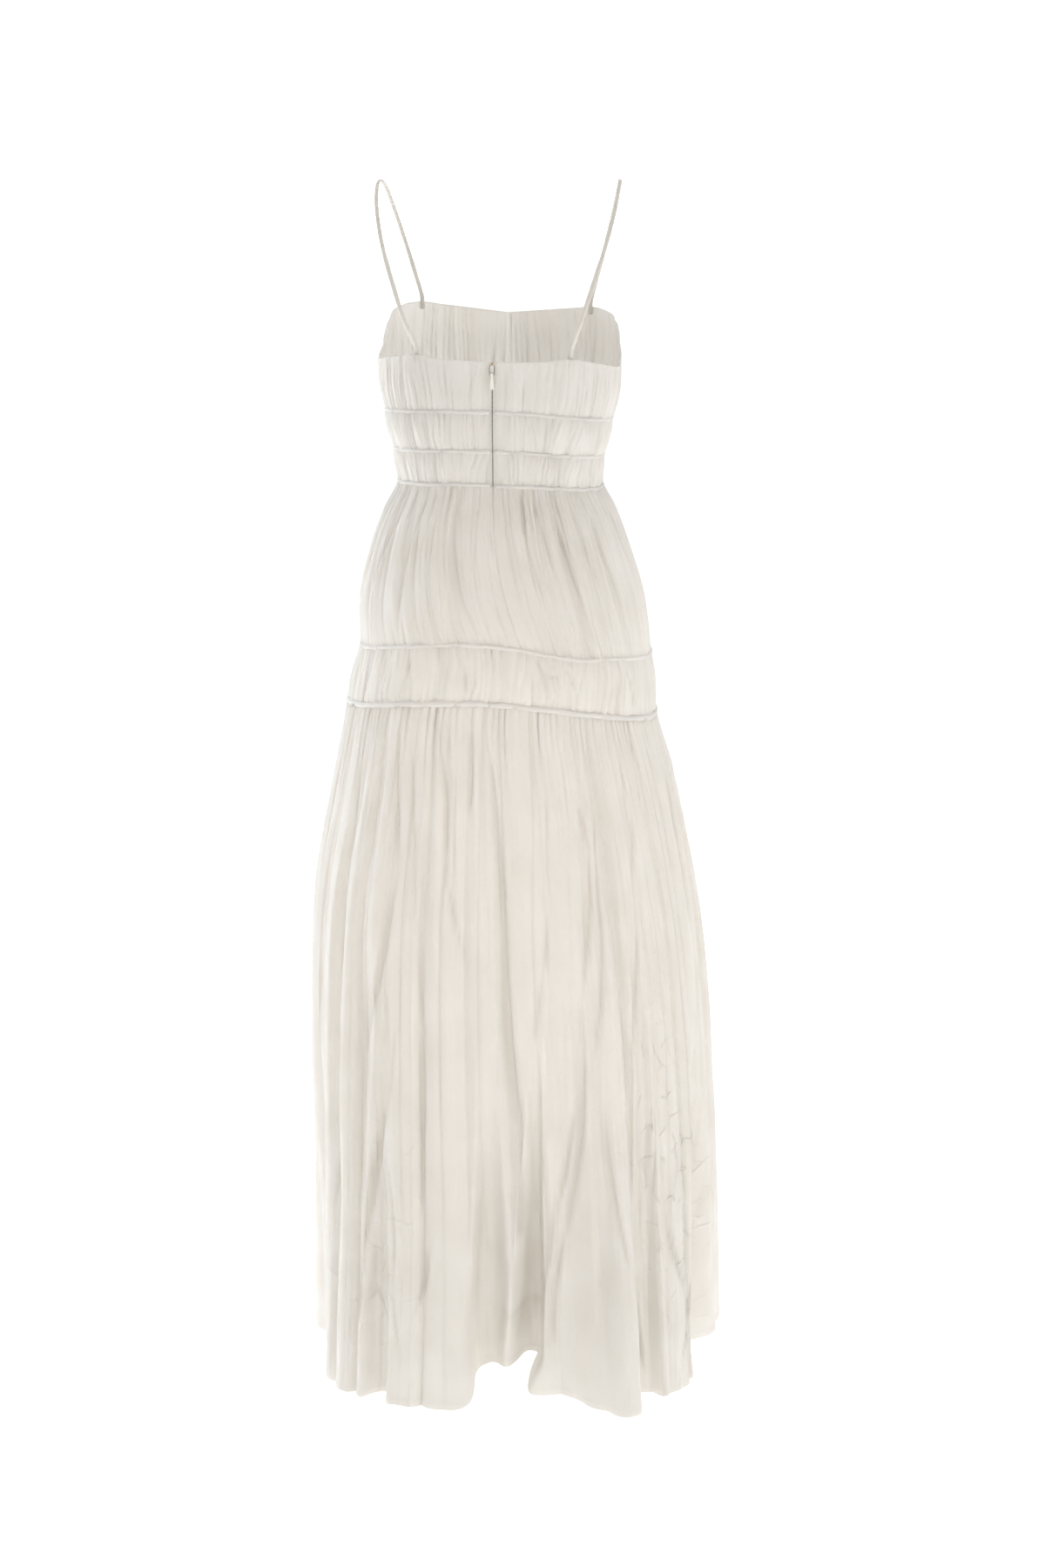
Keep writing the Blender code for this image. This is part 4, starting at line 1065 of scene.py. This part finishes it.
def cloth_piece(name, band_name, start, end, columns, rows, crowding, zip_side=None):
    """One cut piece of cloth, from one seam to the next."""
    around = np.linspace(start, end, columns)
    down, band_length = rows_down(band_name, rows, crowding)
    half_gap = ZIP_HALF_GAP / (body_points(0.0, -0.25)[1] * math.pi / 180 * BACK_FLATNESS)
    if zip_side == "start":
        around[0] += half_gap
    if zip_side == "end":
        around[-1] -= half_gap
    points, normal, fold_shade = cloth_surface(band_name, around, down)
    if band_name == "lower_skirt":
        hem_lines.append(edge_line(points, normal, (1 - down) * band_length, HEM_STITCH))
    if band_name == "bodice_tier1":
        top_lines.append(edge_line(points, normal, down * band_length, TOP_STITCH))
    width = flat_width(band_name)
    across, along = np.meshgrid(around / 360 * width, down * band_length)
    spots = crushed(np.broadcast_to(around, fold_shade.shape), points[..., 2])
    # The fold depth that darkens the colour as painted shade rides along as a point attribute.
    shares = {"fold_shade": fold_shade, "crushed": spots}
    if zip_side:
        extra = turned_under(points, normal, zip_side == "start")
        shift = (np.arange(extra.shape[1]) - extra.shape[1]) * ZIP_ROLL_STEP
        if zip_side == "start":
            points = np.concatenate([extra, points], axis=1)
            beyond = ((0, 0), (extra.shape[1], 0))
            across = np.concatenate([across[:, :1] + shift, across], axis=1)
            along = np.concatenate([along[:, :1]] * extra.shape[1] + [along], axis=1)
        else:
            points = np.concatenate([points, extra], axis=1)
            beyond = ((0, 0), (0, extra.shape[1]))
            across = np.concatenate([across, across[:, -1:] - shift[::-1]], axis=1)
            along = np.concatenate([along] + [along[:, -1:]] * extra.shape[1], axis=1)
        shares = {share: np.pad(values, beyond, mode="edge") for share, values in shares.items()}
    mesh = grid_mesh("cloth_" + name, points, np.stack([across, along], axis=-1), shares=shares)
    obj = new_piece("cloth_" + name, mesh, voile, (name,))
    turned = obj.vertex_groups.new(name="turned edge")
    total_rows, total_columns = points.shape[:2]
    number = np.arange(total_rows * total_columns).reshape(total_rows, total_columns)
    if BANDS[band_name].upper == "top":
        doubled = along[:, 0] < TURNED_TOP + 0.1 * MM
        turned.add(number[doubled].ravel().tolist(), 1.0, "REPLACE")
    if BANDS[band_name].lower == "hem":
        doubled = along[:, 0] > band_length - TURNED_HEM - 0.1 * MM
        turned.add(number[doubled].ravel().tolist(), 1.0, "REPLACE")
    shell = obj.modifiers.new("shell", "SOLIDIFY")
    shell.thickness = SHELL
    shell.offset = -1.0
    shell.vertex_group = turned.name
    shell.thickness_vertex_group = SINGLE_LAYER
    area = sum(polygon.area for polygon in mesh.polygons)
    print(f"{obj.name}: {total_rows} x {total_columns} points, {area:.4f} square metres")


# %% Bodice tiers
for tier in ("bodice_tier1", "bodice_tier2", "bodice_tier3"):
    cloth_piece(tier + "_back_left", tier, 0, 90, 225, 21, 0.5, "start")
    cloth_piece(tier + "_front", tier, 90, 270, 449, 21, 0.5)
    cloth_piece(tier + "_back_right", tier, 270, 360, 225, 21, 0.5, "end")

# %% Yoke, hip band and lower skirt
cloth_piece("yoke_back_left", "yoke", 0, 90, 281, 35, 0.4)
cloth_piece("yoke_front", "yoke", 90, 270, 561, 35, 0.4)
cloth_piece("yoke_back_right", "yoke", 270, 360, 281, 35, 0.4)
cloth_piece("hip_band_back", "hip_band", -90, 90, 417, 23, 0.5)
cloth_piece("hip_band_front", "hip_band", 90, 270, 417, 23, 0.5)
cloth_piece("lower_skirt_back", "lower_skirt", -90, 90, 661, 67, 0.45)
cloth_piece("lower_skirt_front", "lower_skirt", 90, 270, 661, 67, 0.45)

# %% [markdown]
# ## Piped seams
#
# Five seams are piped. A cord is covered with a bias strip of the same voile, and the gathered cloth on each
# side is stitched close to it. The pull of the gathers makes the cover wavy, and each little pleat leaves
# a dent in it. A swept tube is enough for this, if its radius and its path are uneven, so each cord is
# a grid of points round its seam. The three upper cords stop at the zip, and their ends are closed.

# %% Piping
Cord = namedtuple("Cord", "level radius closed")
CORDS = {  # the seam, half the cord's height in millimetres, and whether it goes all the way round
    "seam_cord_1": Cord("seam_1", 2.1, False),
    "seam_cord_2": Cord("seam_2", 2.1, False),
    "waist_cord": Cord("waist", 2.2, False),
    "hip_cord_upper": Cord("hip_upper", 2.2, True),
    "hip_cord_lower": Cord("hip_lower", 3.3, True),
}
CORD_PROUD = 0.2 * MM
CORD_FLATNESS = 0.7  # depth against height, as the stitches on each side pull the cover flat
CORD_ZIP_GAP = 1.1  # degrees from the centre back to a cord's end
CORD_DENTS = 246  # round the body
CORD_DENT_DEPTH = 0.09  # shares of the radius
CORD_SWELL = 0.08
CORD_WAVE = 0.45 * MM  # up and down, as groups of gathers pull
CORD_RIPPLE = 0.18 * MM  # and single ones
CORD_SWAY = 0.25 * MM  # in and out
CORD_SIDES = 10
CORD_COLUMNS = 640


def tube_mesh(name, centre, out, side, radius, closed):
    """A tube over a path, with two directions across it, `out` and `side`, and a half axis for each."""
    turn = np.linspace(0, 2 * np.pi, CORD_SIDES, endpoint=False)
    wide, tall = radius
    ring = (
        centre[None]
        + out[None] * (np.sin(turn)[:, None] * wide)[..., None]
        + side[None] * (np.cos(turn)[:, None] * tall)[..., None]
    )
    points = np.concatenate([ring, ring[:1]], axis=0)
    length = np.concatenate([[0.0], np.cumsum(np.linalg.norm(np.diff(centre, axis=0), axis=1))])
    girth = np.linspace(0, 2 * np.pi * float(np.mean(tall)), CORD_SIDES + 1)
    flat = np.stack(np.meshgrid(length, girth), axis=-1)
    if not closed:  # both ends shrink to a point
        first = np.broadcast_to(centre[:1], points[:, :1].shape)
        last = np.broadcast_to(centre[-1:], points[:, :1].shape)
        points = np.concatenate([first, points, last], axis=1)
        flat = np.concatenate([flat[:, :1], flat, flat[:, -1:]], axis=1)
    mesh = grid_mesh(name, points, flat, closed)
    shell = bmesh.new()
    shell.from_mesh(mesh)
    bmesh.ops.remove_doubles(shell, verts=shell.verts, dist=1e-7)
    bmesh.ops.recalc_face_normals(shell, faces=shell.faces)
    shell.to_mesh(mesh)
    shell.free()
    mesh.shade_smooth()
    return mesh


def piping(name):
    """The covered cord in one seam."""
    cord = CORDS[name]
    if cord.closed:
        around = np.linspace(0, 360, CORD_COLUMNS, endpoint=False)
    else:
        around = np.linspace(CORD_ZIP_GAP, 360 - CORD_ZIP_GAP, CORD_COLUMNS)
    seed = len(name) + cord.radius
    height = level_height(cord.level, around)
    place = around / 360 * CORD_DENTS
    height = height + CORD_WAVE * soft_noise(around / 6, 0 * around, 60, seed)
    height = height + CORD_RIPPLE * soft_noise(around / 1.8, 0 * around, 200, seed + 1)
    proud = CORD_PROUD + CORD_SWAY * soft_noise(around / 4, 0 * around, 90, seed + 2)
    centre = body_points(around, height, proud)
    outward = body_points(around, height, 1.0) - body_points(around, height, 0.0)
    up = np.broadcast_to([0.0, 0.0, 1.0], outward.shape)
    place = place + 0.5 * soft_noise(place / 3, 0 * place, CORD_DENTS // 3, seed)
    dent = 1 + CORD_DENT_DEPTH * np.sin(2 * np.pi * place)
    swell = 1 + CORD_SWELL * soft_noise(around / 5, 0 * around, 72, seed + 3)
    radius = cord.radius * MM * dent * swell
    mesh = tube_mesh("piping_" + name, centre, outward, up, (CORD_FLATNESS * radius, radius), cord.closed)
    return new_piece("piping_" + name, mesh, bias_voile, (name,))


for name in CORDS:
    obj = piping(name)
    print(obj.name, "faces", len(obj.data.polygons))

# %% [markdown]
# ## Rouleau straps
#
# A rouleau is a bias tube turned right side out: about 5 mm wide, a little flat, with fine cross wrinkles
# and a seam along its under side. Each strap is one swept tube on a smooth route from its back joint, over
# the shoulder, to its front joint, and its ends go in behind the top edge, where they are caught in the seam.

# %% Straps
STRAP_ROUTE = (  # metres, from back to front
    (0.0905, 0.0960, -0.1450),
    (0.1020, 0.0930, -0.1100),
    (0.1150, 0.0790, -0.0680),
    (0.1230, 0.0570, -0.0340),
    (0.1265, 0.0300, -0.0110),
    (0.1270, 0.0000, -0.0023),
    (0.1250, -0.0300, -0.0080),
    (0.1190, -0.0580, -0.0330),
    (0.1100, -0.0790, -0.0680),
    (0.1010, -0.0900, -0.1020),
)
STRAP_BACK = 34.0  # degrees from the centre back to a joint
STRAP_FRONT = 138.0
STRAP_HALF_WIDTH = 2.35 * MM
STRAP_HALF_DEPTH = 1.75 * MM
STRAP_SEWN_IN = 8 * MM
STRAP_POINTS = 300
STRAP_SWELL = (0.06, 0.022)  # share of its size, and metres from one to the next
STRAP_WRINKLE = (0.035, 0.004)
SHOULDER_CENTRE = (0.0, 0.0, -0.11)  # the strap's flat side faces this
BEHIND_EDGE = 2.6 * MM  # from the cloth's outer face in to the middle of a sewn-in end


def strap_route(side):
    """Points of the wearer's left strap for side 1, and the right one for side -1."""
    def joint(angle):
        top = float(level_height("top", side * angle))
        just_inside = [body_points(side * angle, z, -BEHIND_EDGE) for z in (top - STRAP_SEWN_IN, top - MM)]
        return [*just_inside, body_points(side * angle, top + 7 * MM, -1.6 * MM)]

    middle = [np.array((side * x, y, z)) for x, y, z in STRAP_ROUTE]
    points = np.array([*joint(STRAP_BACK), *middle, *reversed(joint(STRAP_FRONT))])
    keys = np.concatenate([[0.0], np.cumsum(np.linalg.norm(np.diff(points, axis=0), axis=1))])
    at = np.linspace(0, keys[-1], STRAP_POINTS)
    return np.stack([smooth_curve(keys, points[:, axis], at) for axis in range(3)], axis=-1)


def rouleau(name, side):
    """One strap, flat side to the shoulder."""
    centre = strap_route(side)
    along = np.gradient(centre, axis=0)
    along /= np.linalg.norm(along, axis=1, keepdims=True)
    outward = centre - np.array(SHOULDER_CENTRE)
    outward[:, 0] *= 0.15  # a strap turns little to the side
    outward -= along * np.sum(outward * along, axis=1, keepdims=True)
    outward /= np.linalg.norm(outward, axis=1, keepdims=True)
    across = np.cross(along, outward)
    length = np.concatenate([[0.0], np.cumsum(np.linalg.norm(np.diff(centre, axis=0), axis=1))])
    swell = 1.0
    for (share, spacing), seed in ((STRAP_SWELL, 53), (STRAP_WRINKLE, 51)):
        swell = swell + share * soft_noise(length / spacing, 0 * length, 1000, seed + side)
    radius = (STRAP_HALF_DEPTH * swell, STRAP_HALF_WIDTH * swell)
    mesh = tube_mesh("rouleau_" + name, centre, outward, across, radius, False)
    print(name, "length", round(float(length[-1]), 3), "m")
    return new_piece("rouleau_" + name, mesh, greyed_strap_voile, (name,))


rouleau("strap_left", 1)
rouleau("strap_right", -1)

# %% [markdown]
# ## Thread, coil and stitches
#
# The hem and the top edge are turned under and held by a row of machine stitches. On the real dress each
# stitch is about 2.5 mm of polyester thread that sinks into the cloth at both ends. Geometry Nodes suit
# this, because one small shape is repeated at an even pitch along a line. The same tree makes the nylon
# coil of the zip, whose turns lie across the tape every 1.1 mm.

# %% Thread and coil
def plain_finish(name, colour, roughness, specular=0.5, coat=0.0, metallic=0.0, grain=(0.5, 0.02)):
    """A surface with its own grain: a noise a few tenths of a millimetre wide in roughness and bump."""
    size_mm, depth_mm = grain
    material, tree, output = new_material(name)
    place = add_node(tree, "ShaderNodeTexCoord")
    speckle = add_node(tree, "ShaderNodeTexNoise", {
        "Vector": place.outputs["Object"], "Scale": 1000 / size_mm, "Detail": 3.0
    })
    rough = add_node(tree, "ShaderNodeMapRange", {
        "Value": speckle.outputs["Fac"], "To Min": roughness - 0.08, "To Max": roughness + 0.08
    })
    bump = add_node(tree, "ShaderNodeBump", {
        "Strength": 0.5, "Distance": depth_mm * MM, "Height": speckle.outputs["Fac"]
    })
    skin = add_node(tree, "ShaderNodeBsdfPrincipled", {
        "Base Color": linear(colour),
        "Roughness": rough.outputs["Result"],
        "Metallic": metallic,
        "Specular IOR Level": specular,
        "Coat Weight": coat,
        "Normal": bump.outputs["Normal"],
    })
    tree.links.new(skin.outputs["BSDF"], output.inputs["Surface"])
    return material


# Spun polyester is soft white with little gloss. The nylon coil is smoother, and drawn dark grey as painted
# shade of the deep gap between the cloth's rolled edges.
sewing_thread = plain_finish("spun polyester thread", "#f1ede5", 0.62, specular=0.3)
gap_shade_coil = plain_finish("nylon coil darkened as gap shade", "#575149", 0.5)
print("thread and coil:", sewing_thread.name, "and", gap_shade_coil.name)


# %% One shape along a line
def repeat_tree(material):
    """Geometry Nodes that set a small rounded bar at an even pitch along lines of edges."""
    tree = bpy.data.node_groups.new("bars along a line of " + material.name, "GeometryNodeTree")
    tree.interface.new_socket("Geometry", in_out="INPUT", socket_type="NodeSocketGeometry")
    for name in ("Pitch", "Length", "Width", "Depth", "Unevenness"):
        tree.interface.new_socket(name, in_out="INPUT", socket_type="NodeSocketFloat")
    tree.interface.new_socket("Geometry", in_out="OUTPUT", socket_type="NodeSocketGeometry")
    given = add_node(tree, "NodeGroupInput").outputs
    line = add_node(tree, "GeometryNodeMeshToCurve", {"Mesh": given["Geometry"]})
    spots = add_node(tree, "GeometryNodeCurveToPoints", {
        "Curve": line.outputs["Curve"], "Length": given["Pitch"]
    }, mode="LENGTH")
    along = add_node(tree, "FunctionNodeAlignRotationToVector", {
        "Vector": spots.outputs["Tangent"]
    }, axis="X")
    outward = add_node(tree, "GeometryNodeInputNamedAttribute", {
        "Name": "outward"
    }, data_type="FLOAT_VECTOR")
    facing = add_node(tree, "FunctionNodeAlignRotationToVector", {
        "Rotation": along.outputs["Rotation"], "Vector": outward.outputs["Attribute"]
    }, axis="Z", pivot_axis="X")
    half = add_node(tree, "ShaderNodeCombineXYZ", {
        "X": given["Length"], "Y": given["Width"], "Z": given["Depth"]
    })
    ball = add_node(tree, "GeometryNodeMeshUVSphere", {"Segments": 6, "Rings": 4, "Radius": 0.5})
    bar = add_node(tree, "GeometryNodeTransform", {
        "Geometry": ball.outputs["Mesh"], "Scale": half.outputs["Vector"]
    })
    least = calculate(tree, "SUBTRACT", 1.0, given["Unevenness"])
    most = calculate(tree, "ADD", 1.0, given["Unevenness"])
    size = add_node(tree, "FunctionNodeRandomValue", {2: least, 3: most, "Seed": 7}, data_type="FLOAT")
    bars = add_node(tree, "GeometryNodeInstanceOnPoints", {
        "Points": spots.outputs["Points"], "Instance": bar.outputs["Geometry"],
        "Rotation": facing.outputs["Rotation"], "Scale": size.outputs[1],
    })
    real = add_node(tree, "GeometryNodeRealizeInstances", {"Geometry": bars.outputs["Instances"]})
    smooth = add_node(tree, "GeometryNodeSetShadeSmooth", {"Geometry": real.outputs["Geometry"]})
    finished = add_node(tree, "GeometryNodeSetMaterial", {
        "Geometry": smooth.outputs["Geometry"], "Material": material
    })
    add_node(tree, "NodeGroupOutput", {"Geometry": finished.outputs["Geometry"]})
    return tree


def along_lines(name, lines, tree, sizes):
    """Runs the tree on lines of (points, outward directions), and returns the plain mesh that it makes."""
    guide = bpy.data.meshes.new(name + " guide")
    points = np.concatenate([line for line, _ in lines])
    outward = np.concatenate([facing for _, facing in lines])
    edges, first = [], 0
    for line, _ in lines:
        edges += [(first + n, first + n + 1) for n in range(len(line) - 1)]
        first += len(line)
    guide.from_pydata(points.tolist(), edges, [])
    facing = guide.attributes.new("outward", "FLOAT_VECTOR", "POINT")
    facing.data.foreach_set("vector", outward.astype(np.float32).ravel())
    source = bpy.data.objects.new(name + " guide", guide)
    scene.collection.objects.link(source)
    grower = source.modifiers.new("bars", "NODES")
    grower.node_group = tree
    for item in tree.interface.items_tree:
        if item.name in sizes:
            grower[item.identifier] = sizes[item.name]
    bpy.context.view_layer.update()
    mesh = bpy.data.meshes.new_from_object(source.evaluated_get(bpy.context.evaluated_depsgraph_get()))
    mesh.name = name
    source.modifiers.remove(grower)
    bpy.data.objects.remove(source)
    return mesh


stitches = repeat_tree(sewing_thread)
print("the stitches' tree has", len(stitches.nodes), "nodes")

# %% Stitches
STITCH_SIZES = {
    "Pitch": 3.1 * MM, "Length": 2.6 * MM, "Width": 0.42 * MM, "Depth": 0.36 * MM, "Unevenness": 0.08
}
STITCH_LIFT = 0.06 * MM  # the thread's middle above the cloth
for name, lines in (("stitches_hem", hem_lines), ("stitches_top_edge", top_lines)):
    lifted = [(points + normal * STITCH_LIFT, normal) for points, normal in lines]
    obj = new_piece(name, along_lines(name, lifted, stitches, STITCH_SIZES), sewing_thread)
    print(name, len(obj.data.polygons), "faces")

# %% [markdown]
# ## Concealed zip
#
# A concealed zip is sewn so that the cloth's edges roll over its coil and nearly meet. What shows is a thin
# line, the slider with its drop-shaped pull, and a stop at the top. The slider, pull, stop and tape are right
# as solids, so they stay and only get their finishes: zinc die castings in white lacquer with a soft gloss, a
# crimped brass stop, and a woven polyester tape.
# The slider's flanks are painted dark grey as shade, and the coil is drawn dark grey as painted shade of the
# gap.

# %% Woven tape
RIB_MM = 0.7  # the real ribs are 0.35 mm apart, too fine to show
TAPE_GLOW = 0.9  # the tape is thin, and the cloth behind it lights it

tape_weave, tree, output = new_material("woven polyester tape")
place = add_node(tree, "ShaderNodeTexCoord")
ribs = add_node(tree, "ShaderNodeTexWave", {
    "Vector": place.outputs["Object"], "Scale": 1000 / RIB_MM * math.pi / 10, "Distortion": 0.4
}, wave_type="BANDS", bands_direction="Z")
rib_tint = add_node(tree, "ShaderNodeMix", {
    "Factor": ribs.outputs["Fac"], 6: linear("#e8e5de"), 7: linear("#f4f2ec")
}, data_type="RGBA")
rib_bump = add_node(tree, "ShaderNodeBump", {
    "Strength": 0.6, "Distance": 0.15 * MM, "Height": ribs.outputs["Fac"]
})
weave = add_node(tree, "ShaderNodeBsdfPrincipled", {
    "Base Color": rib_tint.outputs[2],
    "Roughness": 0.8,
    "Specular IOR Level": 0.3,
    "Normal": rib_bump.outputs["Normal"],
})
through = add_node(tree, "ShaderNodeBsdfTranslucent", {"Color": linear("#fbfaf6")})
thin = add_node(tree, "ShaderNodeMixShader", {
    0: TAPE_GLOW, 1: weave.outputs["BSDF"], 2: through.outputs["BSDF"]
})
tree.links.new(thin.outputs["Shader"], output.inputs["Surface"])
print("tape:", tape_weave.name)

# %% Lacquer and brass
white_lacquer = plain_finish("white lacquered zinc", "#e9e5dc", 0.3, coat=0.4, grain=(0.8, 0.01))
brass = plain_finish("crimped brass", "#a8874a", 0.34, metallic=1.0, grain=(0.3, 0.015))

# Both flanks of the slider are painted dark grey: painted shade where the slider stands in the gap between
# the cloth's edges.
FLANK_SHADE_FROM = 0.9 * MM  # in from the slider's side
FLANK_SHADE_TO = 0.3 * MM
flank_shaded_lacquer = white_lacquer.copy()
flank_shaded_lacquer.name = "rubbed white lacquered zinc"
tree = flank_shaded_lacquer.node_tree
skin = next(node for node in tree.nodes if node.type == "BSDF_PRINCIPLED")
slider_low, slider_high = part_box("zip_slider")
place = add_node(tree, "ShaderNodeTexCoord")
sideways = add_node(tree, "ShaderNodeSeparateXYZ", {"Vector": place.outputs["Object"]})
slider_middle = 0.5 * (slider_low[0] + slider_high[0])
half_slider = 0.5 * (slider_high[0] - slider_low[0])
from_middle = calculate(tree, "SUBTRACT", sideways.outputs["X"], slider_middle)
flank_shade = add_node(tree, "ShaderNodeMapRange", {
    "Value": calculate(tree, "ABSOLUTE", from_middle),
    "From Min": half_slider - FLANK_SHADE_FROM,
    "From Max": half_slider - FLANK_SHADE_TO,
})
painted_shade_tint = add_node(tree, "ShaderNodeMix", {
    "Factor": flank_shade.outputs["Result"], 6: linear("#dad6cf"), 7: linear("#6b655c")
}, data_type="RGBA")
tree.links.new(painted_shade_tint.outputs[2], skin.inputs["Base Color"])

FINISHES = {
    "zip_tape": tape_weave,
    "zip_slider": flank_shaded_lacquer,
    "zip_pull": white_lacquer,
    "zip_stop": brass,
}
for name, finish in FINISHES.items():
    node = dress_nodes[name]
    node.data.materials.clear()
    node.data.materials.append(finish)
    print(name, "has", finish.name)

# %% Coil
COIL_TOP = -0.2005
COIL_END = -0.3400
COIL_DEPTH = 1.52 * MM  # from the cloth's face in to the middle of the coil
COIL_SIZES = {
    "Pitch": 1.1 * MM, "Length": 0.8 * MM, "Width": 2.6 * MM, "Depth": 0.6 * MM, "Unevenness": 0.0
}
heights = np.linspace(COIL_TOP, COIL_END, 60)
coil_line = body_points(0.0 * heights, heights, -COIL_DEPTH)
facing_back = np.tile([0.0, 1.0, 0.0], (len(heights), 1))
# The coil's dark grey colour is painted shade of the gap between the rolled edges.
coil = along_lines("zip_coil", [(coil_line, facing_back)], repeat_tree(gap_shade_coil), COIL_SIZES)
new_piece("zip_coil", coil, gap_shade_coil)
print("faces in the coil:", len(coil.polygons))

# %% [markdown]
# ## Triangles
#
# Each piece is cut as a rectangle, wider than the seam that it is gathered into, and its width is drawn up on
# two threads. The last cell counts the triangles of all the pieces that are shown.

# %% Triangles
shown = [obj for obj in scene.objects if obj.type == "MESH" and not obj.hide_render and obj is not floor]
depsgraph = bpy.context.evaluated_depsgraph_get()
meshes = [obj.evaluated_get(depsgraph).data for obj in shown]
print("triangles in all:", sum(len(face.vertices) - 2 for mesh in meshes for face in mesh.polygons))
